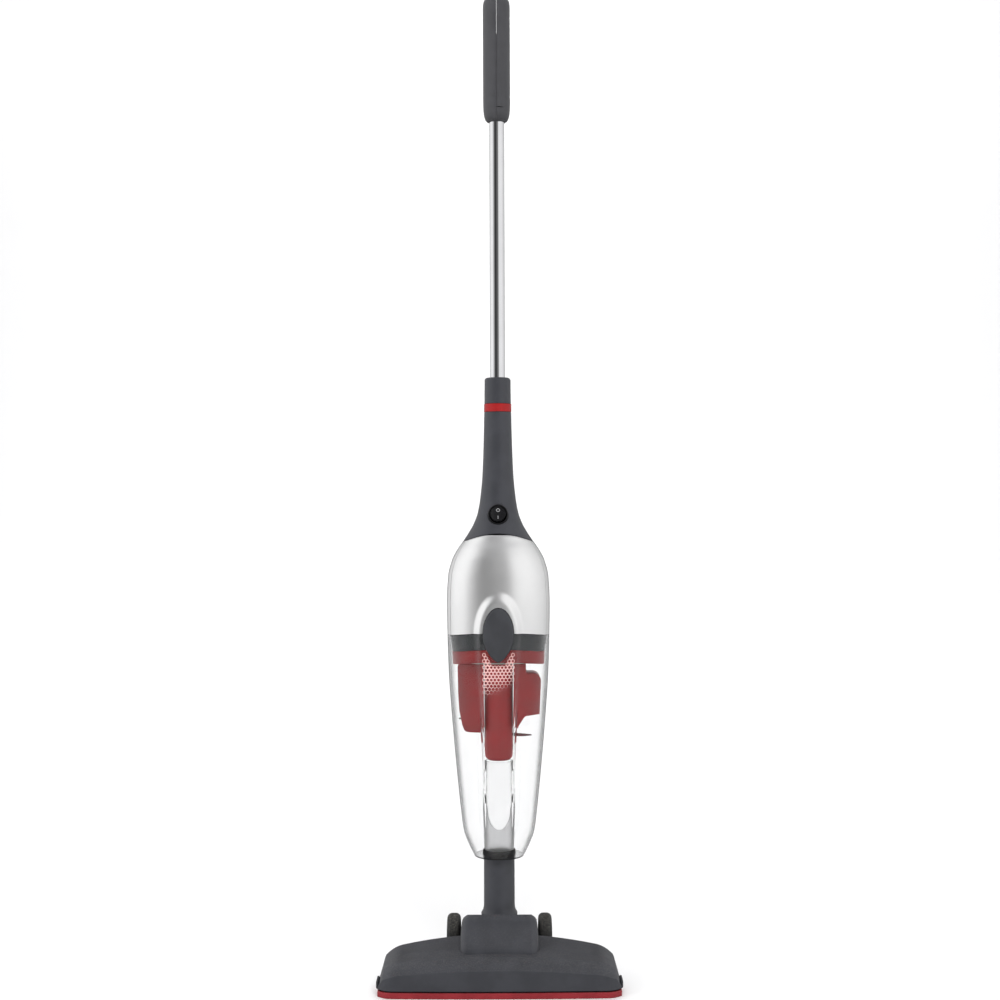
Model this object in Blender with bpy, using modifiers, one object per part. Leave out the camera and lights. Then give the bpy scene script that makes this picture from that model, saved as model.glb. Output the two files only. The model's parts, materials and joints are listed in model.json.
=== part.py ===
"""Upright stick vacuum cleaner, modelled as an assembly of separate parts.

Lengths are metres and +Z is up. The machine faces -Y, +X is on the viewer's
right, and the origin is on the floor under the axis of the upright neck.
"""

import math

import bmesh
import bpy
from mathutils import Matrix, Vector

MM = 0.001
GAP = 0.3 * MM                      # clearance between touching pieces

# Overall stations along the upright machine, from the floor up.
CUP_BOTTOM = 144.0 * MM
FLANGE_BOTTOM = 363.5 * MM
FLANGE_TOP = 377.5 * MM
PARTING = 396.5 * MM                # cup rim against the motor housing
PARTING_RISE = 5.0 * MM             # how far the parting line climbs at the front
SEAM = 502.5 * MM                   # silver front shell against the neck shells
SEAM_RISE = 9.0 * MM
NECK_TOP = 649.7 * MM
BAND_TOP = 659.2 * MM
COLLAR_TOP = 689.0 * MM
GRIP_BOTTOM = 981.5 * MM
GRIP_TOP = 1121.0 * MM

# Half-width of the body outline against height, from the cup's foot to the neck.
BODY_OUTLINE = (
    (144.0, 28.0), (160.0, 35.6), (173.0, 40.2), (197.0, 43.4), (252.0, 48.9),
    (307.0, 53.6), (353.0, 56.7), (398.0, 58.1), (432.0, 58.6), (462.0, 57.2),
    (481.0, 52.6), (494.0, 45.9), (504.0, 38.9), (513.0, 33.1), (522.0, 28.0),
    (535.0, 23.2), (552.0, 20.2), (580.0, 17.6), (620.0, 16.1), (650.0, 15.4),
)
CUP_LEVELS = (144.0, 160.0, 173.0, 200.0, 240.0, 285.0, 330.0, 368.0, 396.5)
FRONT_DEPTH = 0.97                  # front depth of a section over its half-width
REAR_DEPTH = 0.94
SQUARENESS = 2.25                   # superellipse power of the wide sections

WALL = 2.3 * MM
CUP_WALL = 2.0 * MM

# Raised channel on the front: height above the body, and its two edges.
RIDGE_HEIGHT = 5.0 * MM
RIDGE_FOOT = 150.0 * MM
HOOD_TOP = 449.0 * MM

# Release button, an ellipse seen from the front.
BUTTON_CENTRE_Z = 399.8 * MM
BUTTON_HALF_WIDTH = 17.2 * MM
BUTTON_HALF_HEIGHT = 30.0 * MM
BUTTON_FRONT = -63.0 * MM
BUTTON_THICKNESS = 4.2 * MM

# Switch in the neck.
SWITCH_Z = 533.0 * MM
SWITCH_Y = -24.0 * MM
SWITCH_RADIUS = 10.0 * MM
SWITCH_LEAN = math.radians(12.0)    # the switch faces a little upwards
ROCKER_DEPTH = 1.5 * MM             # the rocker's axis under the neck's surface
ROCKER_TILT = math.radians(9.0)

# Chrome handle tube and its socket.
TUBE_RADIUS = 8.5 * MM
TUBE_BOTTOM = 596.5 * MM
TUBE_TOP = 1080.0 * MM

# Floor head.
HEAD_HALF_WIDTH = 135.5 * MM
HEAD_FRONT = -68.0 * MM
HEAD_REAR = 8.0 * MM
BUMPER_TOP = 6.5 * MM
BASE_TOP = 8.0 * MM
COVER_FLOOR = 8.5 * MM
HEAD_WALL = 2.4 * MM

# Elbow between the head and the upright body.
PIVOT_Z = 42.0 * MM
BARREL_RADIUS = 21.0 * MM
BARREL_HALF_LENGTH = 24.5 * MM
TRUNNION_RADIUS = 8.0 * MM
SPIGOT_RADIUS = 14.0 * MM

# Rear wheels.
WHEEL_RADIUS = 32.7 * MM
WHEEL_Y = 43.0 * MM
WHEEL_INNER_X = 45.4 * MM
WHEEL_WIDTH = 15.6 * MM
AXLE_RADIUS = 3.0 * MM

# Cord hook that swivels on the rear of the neck.
HOOK_Z = 604.0 * MM
HOOK_Y = 16.9 * MM
GLAND_Z = 572.0 * MM                # where the cord enters the neck

# Screw holes: in the sole as (x, y), in the rear shell as (x, z).
SOLE_SCREWS = ((-85 * MM, -56.5 * MM), (85 * MM, -56.5 * MM), (0.0, 48 * MM))
SHELL_SCREWS = ((-34 * MM, 412 * MM), (34 * MM, 412 * MM))

NECK_COLUMNS = 12

FRONT = -math.pi / 2


def switch_point(depth):
    """A point on the switch's own axis, at a depth under the neck's surface."""
    return Vector((
        0.0, SWITCH_Y + depth * math.cos(SWITCH_LEAN), SWITCH_Z - depth * math.sin(SWITCH_LEAN)))


# ---------------------------------------------------------------- scene set-up

def clear_scene():
    for thing in list(bpy.data.objects):
        bpy.data.objects.remove(thing, do_unlink=True)


def new_collection(name):
    collection = bpy.data.collections.new(name)
    bpy.context.scene.collection.children.link(collection)
    return collection


def finish(name, colour, roughness, metallic=0.0, transmission=0.0):
    made = bpy.data.materials.new(name)
    made.use_nodes = True
    shader = made.node_tree.nodes["Principled BSDF"]
    shader.inputs["Base Color"].default_value = (*colour, 1.0)
    shader.inputs["Roughness"].default_value = roughness
    shader.inputs["Metallic"].default_value = metallic
    shader.inputs["Transmission Weight"].default_value = transmission
    made.diffuse_color = (*colour, 1.0)
    return made


clear_scene()
PARTS = new_collection("upright_vacuum_cleaner")
CUTTERS = new_collection("cutters")

DARK = finish("dark_grey_plastic", (0.067, 0.069, 0.075), 0.42)
SILVER = finish("silver_paint", (0.62, 0.62, 0.62), 0.28, 0.8)
CLEAR = finish("clear_plastic", (0.93, 0.94, 0.95), 0.05, 0.0, 1.0)
RED = finish("red_plastic", (0.35, 0.03, 0.035), 0.35)
BLACK = finish("black_plastic", (0.02, 0.02, 0.021), 0.4)
RUBBER = finish("black_rubber", (0.018, 0.018, 0.018), 0.75)
CHROME = finish("chromed_steel", (0.8, 0.8, 0.81), 0.08, 1.0)
STEEL = finish("bright_steel", (0.55, 0.55, 0.56), 0.35, 1.0)
COPPER = finish("copper_winding", (0.6, 0.25, 0.1), 0.35, 1.0)
FILTER = finish("white_filter", (0.8, 0.8, 0.77), 0.9)
BRISTLE = finish("grey_bristle", (0.12, 0.12, 0.13), 0.9)

JOINTS = {}


def joint_frame(name, place):
    """An empty on a joint's axis; the pieces that move are its children."""
    empty = bpy.data.objects.new(name, None)
    empty.empty_display_size = 0.02
    empty.location = place
    PARTS.objects.link(empty)
    JOINTS[name] = empty


joint_frame("recline_axis", (0.0, 0.0, PIVOT_Z))
joint_frame("left_wheel_axis", (0.0, WHEEL_Y, WHEEL_RADIUS))
joint_frame("right_wheel_axis", (0.0, WHEEL_Y, WHEEL_RADIUS))
joint_frame("cup_slide", (0.0, 0.0, CUP_BOTTOM))
joint_frame("separator_slide", (0.0, 0.0, FLANGE_TOP))
joint_frame("motor_slide", (0.0, 0.0, PARTING))
joint_frame("rotor_axis", (0.0, 0.0, 412.0 * MM))
joint_frame("rocker_axis", switch_point(ROCKER_DEPTH))
joint_frame("button_slide", (0.0, BUTTON_FRONT, BUTTON_CENTRE_Z))
joint_frame("handle_slide", (0.0, 0.0, COLLAR_TOP))
joint_frame("hook_axis", (0.0, HOOK_Y, HOOK_Z))


# ------------------------------------------------------------- object helpers

def add_object(name, mesh, look, place=(0.0, 0.0, 0.0), joint=None):
    """Link a part, placed in world coordinates, under its joint's empty."""
    made = bpy.data.objects.new(name, mesh)
    if look is None:
        CUTTERS.objects.link(made)
        made.hide_render = True
        made.display_type = "WIRE"
    else:
        PARTS.objects.link(made)
        mesh.materials.append(look)
    made.location = place
    if joint:
        made.parent = JOINTS[joint]
        made.location = Vector(place) - JOINTS[joint].location
    return made


def mesh_from(bm, name):
    bmesh.ops.recalc_face_normals(bm, faces=bm.faces)
    mesh = bpy.data.meshes.new(name)
    bm.to_mesh(mesh)
    bm.free()
    return mesh


def smooth(made, angle=35.0):
    made.data.shade_smooth()
    made.data.set_sharp_from_angle(angle=math.radians(angle))
    return made


def block(name, low, high, look=None, joint=None, round_edges=0.0):
    """A box between two corners, with its edges rounded if asked."""
    low, high = Vector(low), Vector(high)
    bm = bmesh.new()
    bmesh.ops.create_cube(bm, size=1.0)
    bmesh.ops.scale(bm, vec=high - low, verts=bm.verts)
    made = add_object(name, mesh_from(bm, name), look, (low + high) / 2, joint)
    if round_edges:
        bevel = made.modifiers.new("rounded edges", "BEVEL")
        bevel.width = round_edges
        bevel.segments = 2
    return made


AXIS_TURN = {
    "X": Matrix.Rotation(math.pi / 2, 3, "Y"),
    "Y": Matrix.Rotation(-math.pi / 2, 3, "X"),
    "Z": Matrix.Identity(3),
}


def rod(name, radius, start, length, axis="Z", look=None, joint=None, sides=24, tip=None):
    """A cylinder or cone that starts at a point and runs along +axis."""
    bm = bmesh.new()
    bmesh.ops.create_cone(
        bm, cap_ends=True, segments=sides, radius1=radius,
        radius2=radius if tip is None else tip, depth=length,
        matrix=AXIS_TURN[axis].to_4x4(),
    )
    direction = AXIS_TURN[axis] @ Vector((0.0, 0.0, 1.0))
    centre = Vector(start) + direction * (length / 2)
    return smooth(add_object(name, mesh_from(bm, name), look, centre, joint))


def turned(name, profile, look, joint=None, place=(0.0, 0.0, 0.0), axis="Z", sides=32):
    """Revolve a closed outline of (radius, height) in millimetres round an axis.

    The outline runs down the outer side first and comes back up the bore.
    """
    bm = bmesh.new()
    corners = [bm.verts.new((radius * MM, 0.0, height * MM)) for radius, height in profile]
    for index, corner in enumerate(corners):
        bm.edges.new((corner, corners[(index + 1) % len(corners)]))
    mesh = bpy.data.meshes.new(name)
    bm.to_mesh(mesh)
    bm.free()
    made = add_object(name, mesh, look, place, joint)
    if axis != "Z":
        made.rotation_euler = AXIS_TURN[axis].to_euler()
    screw = made.modifiers.new("turned", "SCREW")
    screw.steps = sides
    screw.render_steps = sides
    screw.use_merge_vertices = True
    screw.merge_threshold = 0.00001
    screw.use_smooth_shade = False
    return made


def combine(made, other, operation):
    """Add a live Boolean of another object."""
    boolean = made.modifiers.new(other.name, "BOOLEAN")
    boolean.operation = operation
    boolean.object = other
    boolean.solver = "EXACT"
    return made


def cut(made, *cutters):
    for cutter in cutters:
        combine(made, cutter, "DIFFERENCE")
    return made


def join(made, *others):
    for other in others:
        combine(made, other, "UNION")
    return made


def grid_mesh(name, rows, closed):
    """A surface through rows of points; closed rows meet end to end."""
    bm = bmesh.new()
    verts = [[bm.verts.new(point) for point in row] for row in rows]
    columns = len(rows[0])
    for lower, upper in zip(verts, verts[1:]):
        for index in range(columns if closed else columns - 1):
            after = (index + 1) % columns
            bm.faces.new((lower[index], lower[after], upper[after], upper[index]))
    mesh = bpy.data.meshes.new(name)
    bm.to_mesh(mesh)
    bm.free()
    return mesh


def shell(name, rows, thickness, look, joint=None, closed=False):
    """A surface with rows running up and columns turning to the left of -Y,
    given its wall towards the inside."""
    made = add_object(name, grid_mesh(name, rows, closed), look, joint=None)
    if joint:
        made.parent = JOINTS[joint]
        made.location = -JOINTS[joint].location
    solidify = made.modifiers.new("wall", "SOLIDIFY")
    solidify.thickness = thickness
    solidify.offset = -1.0
    solidify.use_even_offset = True
    return made


def loft(name, rings, look=None, joint=None):
    """A closed solid through rings of points, with flat ends."""
    bm = bmesh.new()
    verts = [[bm.verts.new(point) for point in ring] for ring in rings]
    count = len(rings[0])
    for lower, upper in zip(verts, verts[1:]):
        for index in range(count):
            after = (index + 1) % count
            bm.faces.new((lower[index], lower[after], upper[after], upper[index]))
    bm.faces.new(list(reversed(verts[0])))
    bm.faces.new(verts[-1])
    bmesh.ops.triangulate(bm, faces=[face for face in bm.faces if len(face.verts) > 4])
    made = add_object(name, mesh_from(bm, name), look)
    if joint:
        made.parent = JOINTS[joint]
        made.location = -JOINTS[joint].location
    return made


def plate_y(name, outline, front, thickness, look=None, joint=None):
    """A flat outline of (x, z) given its thickness along +Y from a front plane."""
    curve = bpy.data.curves.new(name, "CURVE")
    curve.dimensions = "2D"
    curve.fill_mode = "BOTH"
    curve.extrude = thickness / 2
    spline = curve.splines.new("POLY")
    spline.points.add(len(outline) - 1)
    for point, (across, up) in zip(spline.points, outline):
        point.co = (across, up, 0.0, 1.0)
    spline.use_cyclic_u = True
    guide = bpy.data.objects.new(name + "_curve", curve)
    CUTTERS.objects.link(guide)
    bpy.context.view_layer.update()
    mesh = bpy.data.meshes.new_from_object(guide.evaluated_get(bpy.context.evaluated_depsgraph_get()))
    bpy.data.objects.remove(guide, do_unlink=True)
    bm = bmesh.new()
    bm.from_mesh(mesh)
    bmesh.ops.remove_doubles(bm, verts=bm.verts, dist=0.00001)
    bmesh.ops.rotate(bm, matrix=Matrix.Rotation(math.pi / 2, 3, "X"), verts=bm.verts)
    return add_object(name, mesh_from(bm, name), look, (0.0, front + thickness / 2, 0.0), joint)


def button_outline(half_width, half_height, centre_z, steps=32):
    """Points of the button's outline: an ellipse whose lower half tapers to a tip."""
    points = []
    for index in range(steps):
        turn = 2 * math.pi * index / steps
        cosine, sine = math.cos(turn), math.sin(turn)
        taper = 1.0 if sine > 0 else 0.5 + 0.5 * abs(cosine)
        points.append((half_width * cosine * taper, centre_z + half_height * sine))
    return points


def along(table, height):
    """Read a table of (height, value) in millimetres with a monotone cubic."""
    x = height / MM
    if x <= table[0][0]:
        return table[0][1] * MM
    if x >= table[-1][0]:
        return table[-1][1] * MM
    index = max(i for i, row in enumerate(table[:-1]) if row[0] <= x)
    slopes = []
    for at in (index, index + 1):
        if at == 0 or at == len(table) - 1:
            near = min(at, len(table) - 2)
            slopes.append((table[near + 1][1] - table[near][1]) / (table[near + 1][0] - table[near][0]))
            continue
        before = (table[at][1] - table[at - 1][1]) / (table[at][0] - table[at - 1][0])
        after = (table[at + 1][1] - table[at][1]) / (table[at + 1][0] - table[at][0])
        slopes.append(0.0 if before * after <= 0 else 2 * before * after / (before + after))
    (x0, y0), (x1, y1) = table[index], table[index + 1]
    span = x1 - x0
    t = (x - x0) / span
    value = (
        y0 * (2 * t ** 3 - 3 * t ** 2 + 1) + span * slopes[0] * (t ** 3 - 2 * t ** 2 + t)
        + y1 * (3 * t ** 2 - 2 * t ** 3) + span * slopes[1] * (t ** 3 - t ** 2)
    )
    return value * MM


def blend(value, low, high):
    t = min(1.0, max(0.0, (value - low) / (high - low)))
    return t * t * (3 - 2 * t)


def ridge_outer(height):
    """Half-width over which the front channel stands proud."""
    if height > PARTING:
        rise = (height - PARTING) / (HOOD_TOP - PARTING)
        return 27.0 * MM * math.sqrt(max(0.06, 1 - rise * rise))
    return along(((150.0, 15.5), (264.0, 19.0), (378.0, 27.0)), height)


def ridge_height(height):
    if height > PARTING:
        return RIDGE_HEIGHT * (1 - blend(height, HOOD_TOP - 14 * MM, HOOD_TOP))
    return RIDGE_HEIGHT * blend(height, RIDGE_FOOT, 300 * MM)


def body_point(turn, height, inset=0.0, ridge=False):
    """A point on the body at an angle about Z; the front is at -90 degrees."""
    half = along(BODY_OUTLINE, height) - inset
    wide = blend(half, 20 * MM, 45 * MM)
    depth = 1.0 - (1.0 - (FRONT_DEPTH if math.sin(turn) < 0 else REAR_DEPTH)) * wide
    power = 2.0 / (2.0 + (SQUARENESS - 2.0) * wide)
    cosine, sine = math.cos(turn), math.sin(turn)
    x = half * math.copysign(abs(cosine) ** power, cosine)
    y = half * depth * math.copysign(abs(sine) ** power, sine)
    if ridge and y < 0:
        edge = ridge_outer(height)
        y -= ridge_height(height) * (1 - blend(abs(x), edge * 0.72, edge))
    return Vector((x, y, height))


def turn_at(x, height):
    """The angle, right of the front, at which the body is x from the centre."""
    half = along(BODY_OUTLINE, height)
    wide = blend(half, 20 * MM, 45 * MM)
    power = 2.0 / (2.0 + (SQUARENESS - 2.0) * wide)
    return -math.acos(min(1.0, (x / half)) ** (1 / power))


def front_turns(height, steps):
    """Angles across the front half, from the left seam to the right, with
    columns on the edges of the raised channel."""
    edge = turn_at(ridge_outer(height), height)
    inner = turn_at(ridge_outer(height) * 0.72, height)
    right = [inner, edge] + [edge * (1 - (index + 1) / steps) for index in range(steps)]
    left = [-math.pi - turn for turn in reversed(right)]
    return left + [FRONT] + right


def parting_rise(turn):
    return PARTING_RISE * max(0.0, -math.sin(turn)) ** 2


def seam_height(turn):
    return SEAM + SEAM_RISE * math.sin(turn) ** 2


def body_ring(height, inset, steps=28, rise=False):
    """One closed ring of the body, for lofts."""
    ring = []
    for index in range(steps):
        turn = 2 * math.pi * index / steps
        point = body_point(turn, height, inset)
        if rise:
            point.z += parting_rise(turn)
        ring.append(point)
    return ring


# ------------------------------------------------------------------ floor head

def head_top(x):
    """Height of the head's rear top edge, of its crest and of its lower crease."""
    top = 54.2 - 9.1 * (x / 97.0) ** 2
    crest = 43.0 - 4.0 * (x / 88.0) ** 2
    crease = 31.0 - 6.0 * (x / 115.0) ** 2
    return top, crest, crease


def head_front(x):
    """How far forward the head reaches at a station across it, in millimetres."""
    end = 0.035 * max(0.0, abs(x) - 120.0) ** 2
    return HEAD_FRONT / MM + 3.0 * (x * MM / HEAD_HALF_WIDTH) ** 2 + end


def front_line(half, inset, steps=24):
    """Plan of the head's front, narrowed to a half-width and set back, in millimetres."""
    line = []
    for index in range(steps + 1):
        share = 2 * index / steps - 1
        line.append((half * share, head_front(HEAD_HALF_WIDTH / MM * share) + inset))
    return line


def head_section(x, inset, floor):
    """Outline in millimetres of the cover at one station across the head."""
    half, rim = HEAD_HALF_WIDTH / MM, COVER_FLOOR / MM
    top, crest, crease = head_top(x)
    side = rim + 1.5 + (half - abs(x)) * 29.0 / 8.0
    corner = max(0.0, abs(x) - 110.0)
    scale = (min(side, top - 0.018 * corner ** 2) - rim) / (top - rim)
    front = head_front(x)
    rear = HEAD_REAR / MM - 0.021 * max(0.0, abs(x) - 120.0) ** 2
    outline = [
        (front, crease), (front + 5.0, crease + (crest - crease) * 0.52),
        (front + 13.0, crest), (front + 30.0, crest + (top - crest) * 0.5),
        (rear - 10.0, top), (rear - 3.0, top - 2.6), (rear, top - 9.0),
    ]
    points = [(front + inset, floor)]
    for depth, height in outline:
        depth = min(max(depth, front + inset), rear - inset)
        points.append((depth, rim + (height - rim) * scale - inset))
    points.append((rear - inset, floor))
    return [Vector((x * MM, depth * MM, height * MM)) for depth, height in points]


def head_stations(inset):
    half = HEAD_HALF_WIDTH / MM - inset
    right = [0.0, 40.0, 75.0, 100.0, 115.0, 123.0, 129.0, half]
    right = [x for x in right if x < half - 0.5] + [half]
    return [-x for x in reversed(right[1:])] + right


def hump_ring(height, half_width, front, rear, slope, corner=8.0, steps=3):
    """A rounded rectangle in millimetres, corners as arcs, that slopes down to the rear."""
    ring = []
    for sx, sy, start in ((1, 1, 0), (-1, 1, 90), (-1, -1, 180), (1, -1, 270)):
        centre_x = sx * (half_width - corner)
        centre_y = (rear if sy > 0 else front) - sy * corner
        for index in range(steps + 1):
            angle = math.radians(start + 90 * index / steps)
            y = centre_y + corner * math.sin(angle)
            z = height - slope * (y - front)
            ring.append(Vector(((centre_x + corner * math.cos(angle)) * MM, y * MM, z * MM)))
    return ring


def make_head_cover():
    floor = COVER_FLOOR / MM
    cover = loft("head_cover", [head_section(x, 0.0, floor) for x in head_stations(0.0)], DARK)
    hump_levels = (
        (floor, 43.8, -47.0, 60.0, 0.0), (44.0, 43.8, -49.0, 59.0, 0.0),
        (62.0, 43.5, -39.0, 52.0, 0.05), (72.0, 42.8, -32.5, 46.0, 0.17),
        (79.0, 41.2, -29.4, 41.0, 0.24), (82.2, 36.5, -26.0, 36.0, 0.26),
    )
    hump = loft("hump_form", [hump_ring(*level) for level in hump_levels])
    join(cover, hump)
    inner = loft("cover_cavity", [head_section(x, 2.4, 2.0) for x in head_stations(2.4)])
    wall = HEAD_WALL / MM
    hollow = [
        (z - wall if z > floor else 2.0, half - wall, front + wall, rear - wall, slope)
        for z, half, front, rear, slope in hump_levels
    ]
    hump_cavity = loft("hump_cavity", [hump_ring(*level, corner=6.0) for level in hollow])
    slot = block("neck_slot", (-21.4 * MM, -21.3 * MM, 0.0), (21.4 * MM, 80 * MM, 92 * MM))
    reach = AXLE_RADIUS + 2 * GAP
    axle_slot = block("axle_slot", (-60 * MM, WHEEL_Y - reach, 0.0),
                      (60 * MM, WHEEL_Y + reach, WHEEL_RADIUS + reach))
    cut(cover, inner, hump_cavity, slot, axle_slot)
    for side in (-1, 1):
        low, high = sorted((side * 134.0 * MM, side * 140.0 * MM))
        cut(cover, block(f"pad_pocket_{side}", (low, -53.3 * MM, 5 * MM), (high, -31.7 * MM, 16.3 * MM)))


def make_head_base():
    half = HEAD_HALF_WIDTH / MM - 4.5
    plan = front_line(half, 6.0) + [(half, 4.6), (-half, 4.6)]
    base = loft("head_base", [[Vector((x * MM, y * MM, z)) for x, y in plan]
                              for z in (0.0, BASE_TOP)], DARK)
    tongue = block("tongue_form", (-40.9 * MM, 0.0, 0.0), (40.9 * MM, 57.0 * MM, BASE_TOP))
    duct = block("duct_form", (-20.5 * MM, -20.0 * MM, 4 * MM), (20.5 * MM, 12.0 * MM, 23.5 * MM))
    cradles, ears = [], []
    for side in (-1, 1):
        low, high = sorted((side * 25.4 * MM, side * 34.6 * MM))
        cradles.append(block(f"cradle_form_{side}", (low, -11 * MM, 4 * MM),
                             (high, 11 * MM, PIVOT_Z - GAP)))
        low, high = sorted((side * 35.4 * MM, side * 40.9 * MM))
        ears.append(block(f"ear_form_{side}", (low, 34 * MM, 4 * MM), (high, 52 * MM, 42 * MM)))
    join(base, tongue, duct, *cradles, *ears)
    groove = block("groove", (-118 * MM, -36 * MM, -5 * MM), (118 * MM, -4 * MM, 5 * MM))
    throat = block("throat", (-17 * MM, -16 * MM, -6 * MM), (17 * MM, 9 * MM, 60 * MM))
    barrel = rod("barrel_seat", BARREL_RADIUS + GAP, (-25 * MM, 0, PIVOT_Z), 50 * MM, "X", sides=28)
    pivot = rod("pivot_seat", TRUNNION_RADIUS + GAP, (-60 * MM, 0, PIVOT_Z), 120 * MM, "X")
    axle = rod("axle_seat", AXLE_RADIUS + GAP, (-60 * MM, WHEEL_Y, WHEEL_RADIUS), 120 * MM, "X")
    strip = block("lint_strip_slot", (-119 * MM, -52.3 * MM, -5 * MM), (119 * MM, -43.7 * MM, 4.3 * MM))
    cut(base, groove, throat, barrel, pivot, axle, strip)
    for index, (x, y) in enumerate(SOLE_SCREWS):
        cut(base, rod(f"sole_screw_hole_{index}", 3.3 * MM, (x, y, -MM), 6 * MM, sides=16))



def make_bumper():
    """Red strip along the front and round the ends of the sole."""
    half = HEAD_HALF_WIDTH / MM
    outer = [(-half - 0.4, -18.0)] + front_line(half, -0.6) + [(half + 0.4, -18.0)]
    inner = [(-half + 4.0, -18.0)] + front_line(half - 4.0, 5.4) + [(half - 4.0, -18.0)]
    ring = outer + inner[::-1]
    loft("front_bumper", [[Vector((x * MM, y * MM, z)) for x, y in ring]
                          for z in (0.0, BUMPER_TOP)], RED)


def make_head_trim():
    for side, name in ((-1, "left"), (1, "right")):
        low, high = sorted((side * 134.3 * MM, side * 137.2 * MM))
        block(f"side_pad_{name}", (low, -53 * MM, 7.5 * MM), (high, -32 * MM, 16 * MM), RUBBER,
              round_edges=1.0 * MM)
    block("lint_strip", (-118.5 * MM, -52 * MM, 0.2 * MM), (118.5 * MM, -44 * MM, 4 * MM),
          BRISTLE)


def make_pivot_caps():
    for side, name in ((-1, "left"), (1, "right")):
        low, high = sorted((side * 25.4 * MM, side * 34.6 * MM))
        cap = block(f"pivot_cap_{name}", (low, -11 * MM, PIVOT_Z + GAP),
                    (high, 11 * MM, PIVOT_Z + 13 * MM), DARK)
        cut(cap, rod(f"cap_seat_{name}", TRUNNION_RADIUS + GAP, (-60 * MM, 0, PIVOT_Z), 120 * MM, "X"))


def make_wheels():
    for side, name in ((-1, "left"), (1, "right")):
        joint = f"{name}_wheel_axis"
        middle = side * (WHEEL_INNER_X + WHEEL_WIDTH / 2)
        place = (middle, WHEEL_Y, WHEEL_RADIUS)
        radius, half = WHEEL_RADIUS / MM, WHEEL_WIDTH / MM / 2
        turned(f"tyre_{name}", (
            (radius - 4.5, half), (radius - 1.4, half - 0.6), (radius, half - 3.0),
            (radius, 3.0 - half), (radius - 1.4, 0.6 - half), (radius - 4.5, -half),
        ), RUBBER, joint, place, "X", 28)
        rim = radius - 4.8
        outward = [(rim, half - 1), (rim, 1 - half), (rim - 3, 1 - half), (rim - 3, -1.5), (9, -1.5),
                   (9, 1 - half), (3.4, 1 - half), (3.4, half - 1), (9, half - 1), (9, 1.5),
                   (rim - 3, 1.5), (rim - 3, half - 1)]
        turned(f"wheel_rim_{name}", outward, BLACK, joint, place, "X", 20)
        start = min(side * 35.8 * MM, side * 60.5 * MM)
        rod(f"axle_{name}", AXLE_RADIUS, (start, WHEEL_Y, WHEEL_RADIUS), 24.7 * MM, "X", STEEL,
            sides=16)


# ------------------------------------------------------------------------ neck

def make_neck():
    elbow = rod("neck_elbow", BARREL_RADIUS, (-BARREL_HALF_LENGTH, 0, PIVOT_Z),
                2 * BARREL_HALF_LENGTH, "X", DARK, "recline_axis", 28)
    trunnion = rod("trunnion_form", TRUNNION_RADIUS, (-34.2 * MM, 0, PIVOT_Z), 68.4 * MM, "X")
    tube = turned("neck_tube_form", (
        (SPIGOT_RADIUS / MM, 150.5), (SPIGOT_RADIUS / MM, 143.6), (16.6, 143.6), (17.4, 142.4),
        (17.6, 88.0), (18.4, 84.5), (20.6, 81.0), (20.6, 55.0), (5.0, 55.0), (5.0, 150.5),
    ), None, sides=24)
    join(elbow, trunnion, tube)
    cut(elbow, rod("neck_bore", 15 * MM, (0, 0, 0), 136 * MM, sides=24),
        rod("spigot_bore", 12.2 * MM, (0, 0, 100 * MM), 80 * MM, sides=24))


# -------------------------------------------------------------------- dust cup


def button_opening(name):
    outline = button_outline(BUTTON_HALF_WIDTH + 0.6 * MM, BUTTON_HALF_HEIGHT + 0.6 * MM, BUTTON_CENTRE_Z)
    return plate_y(name, outline, -75 * MM, 25 * MM)


def make_dust_cup():
    rear = [math.pi * index / 10 for index in range(1, 10)]
    rows = []
    for level in CUP_LEVELS:
        height = level * MM
        turns = front_turns(height, 5) + rear
        row = [body_point(turn, height, ridge=True) for turn in turns]
        if level == CUP_LEVELS[-1]:
            for point, turn in zip(row, turns):
                point.z += parting_rise(turn)
        rows.append(row)
    turns = front_turns(CUP_BOTTOM, 5) + rear
    foot = [Vector((15.0 * MM * math.cos(t), 15.0 * MM * math.sin(t), CUP_BOTTOM)) for t in turns]
    cup = shell("dust_cup", [foot] + rows, CUP_WALL, CLEAR, "cup_slide", closed=True)
    cut(cup, button_opening("cup_button_notch"))
    turned("inlet_pipe", (
        (16.0, 252.0), (16.0, 147.0), (14.7, 147.0), (14.7, 252.0),
    ), CLEAR, "cup_slide", sides=28)
    turned("inlet_seal", (
        (18.4, 150.2), (18.4, 146.5), (16.3, 146.5), (16.3, 150.2),
    ), RUBBER, "cup_slide", sides=28)


# ------------------------------------------------------------------- separator

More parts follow.
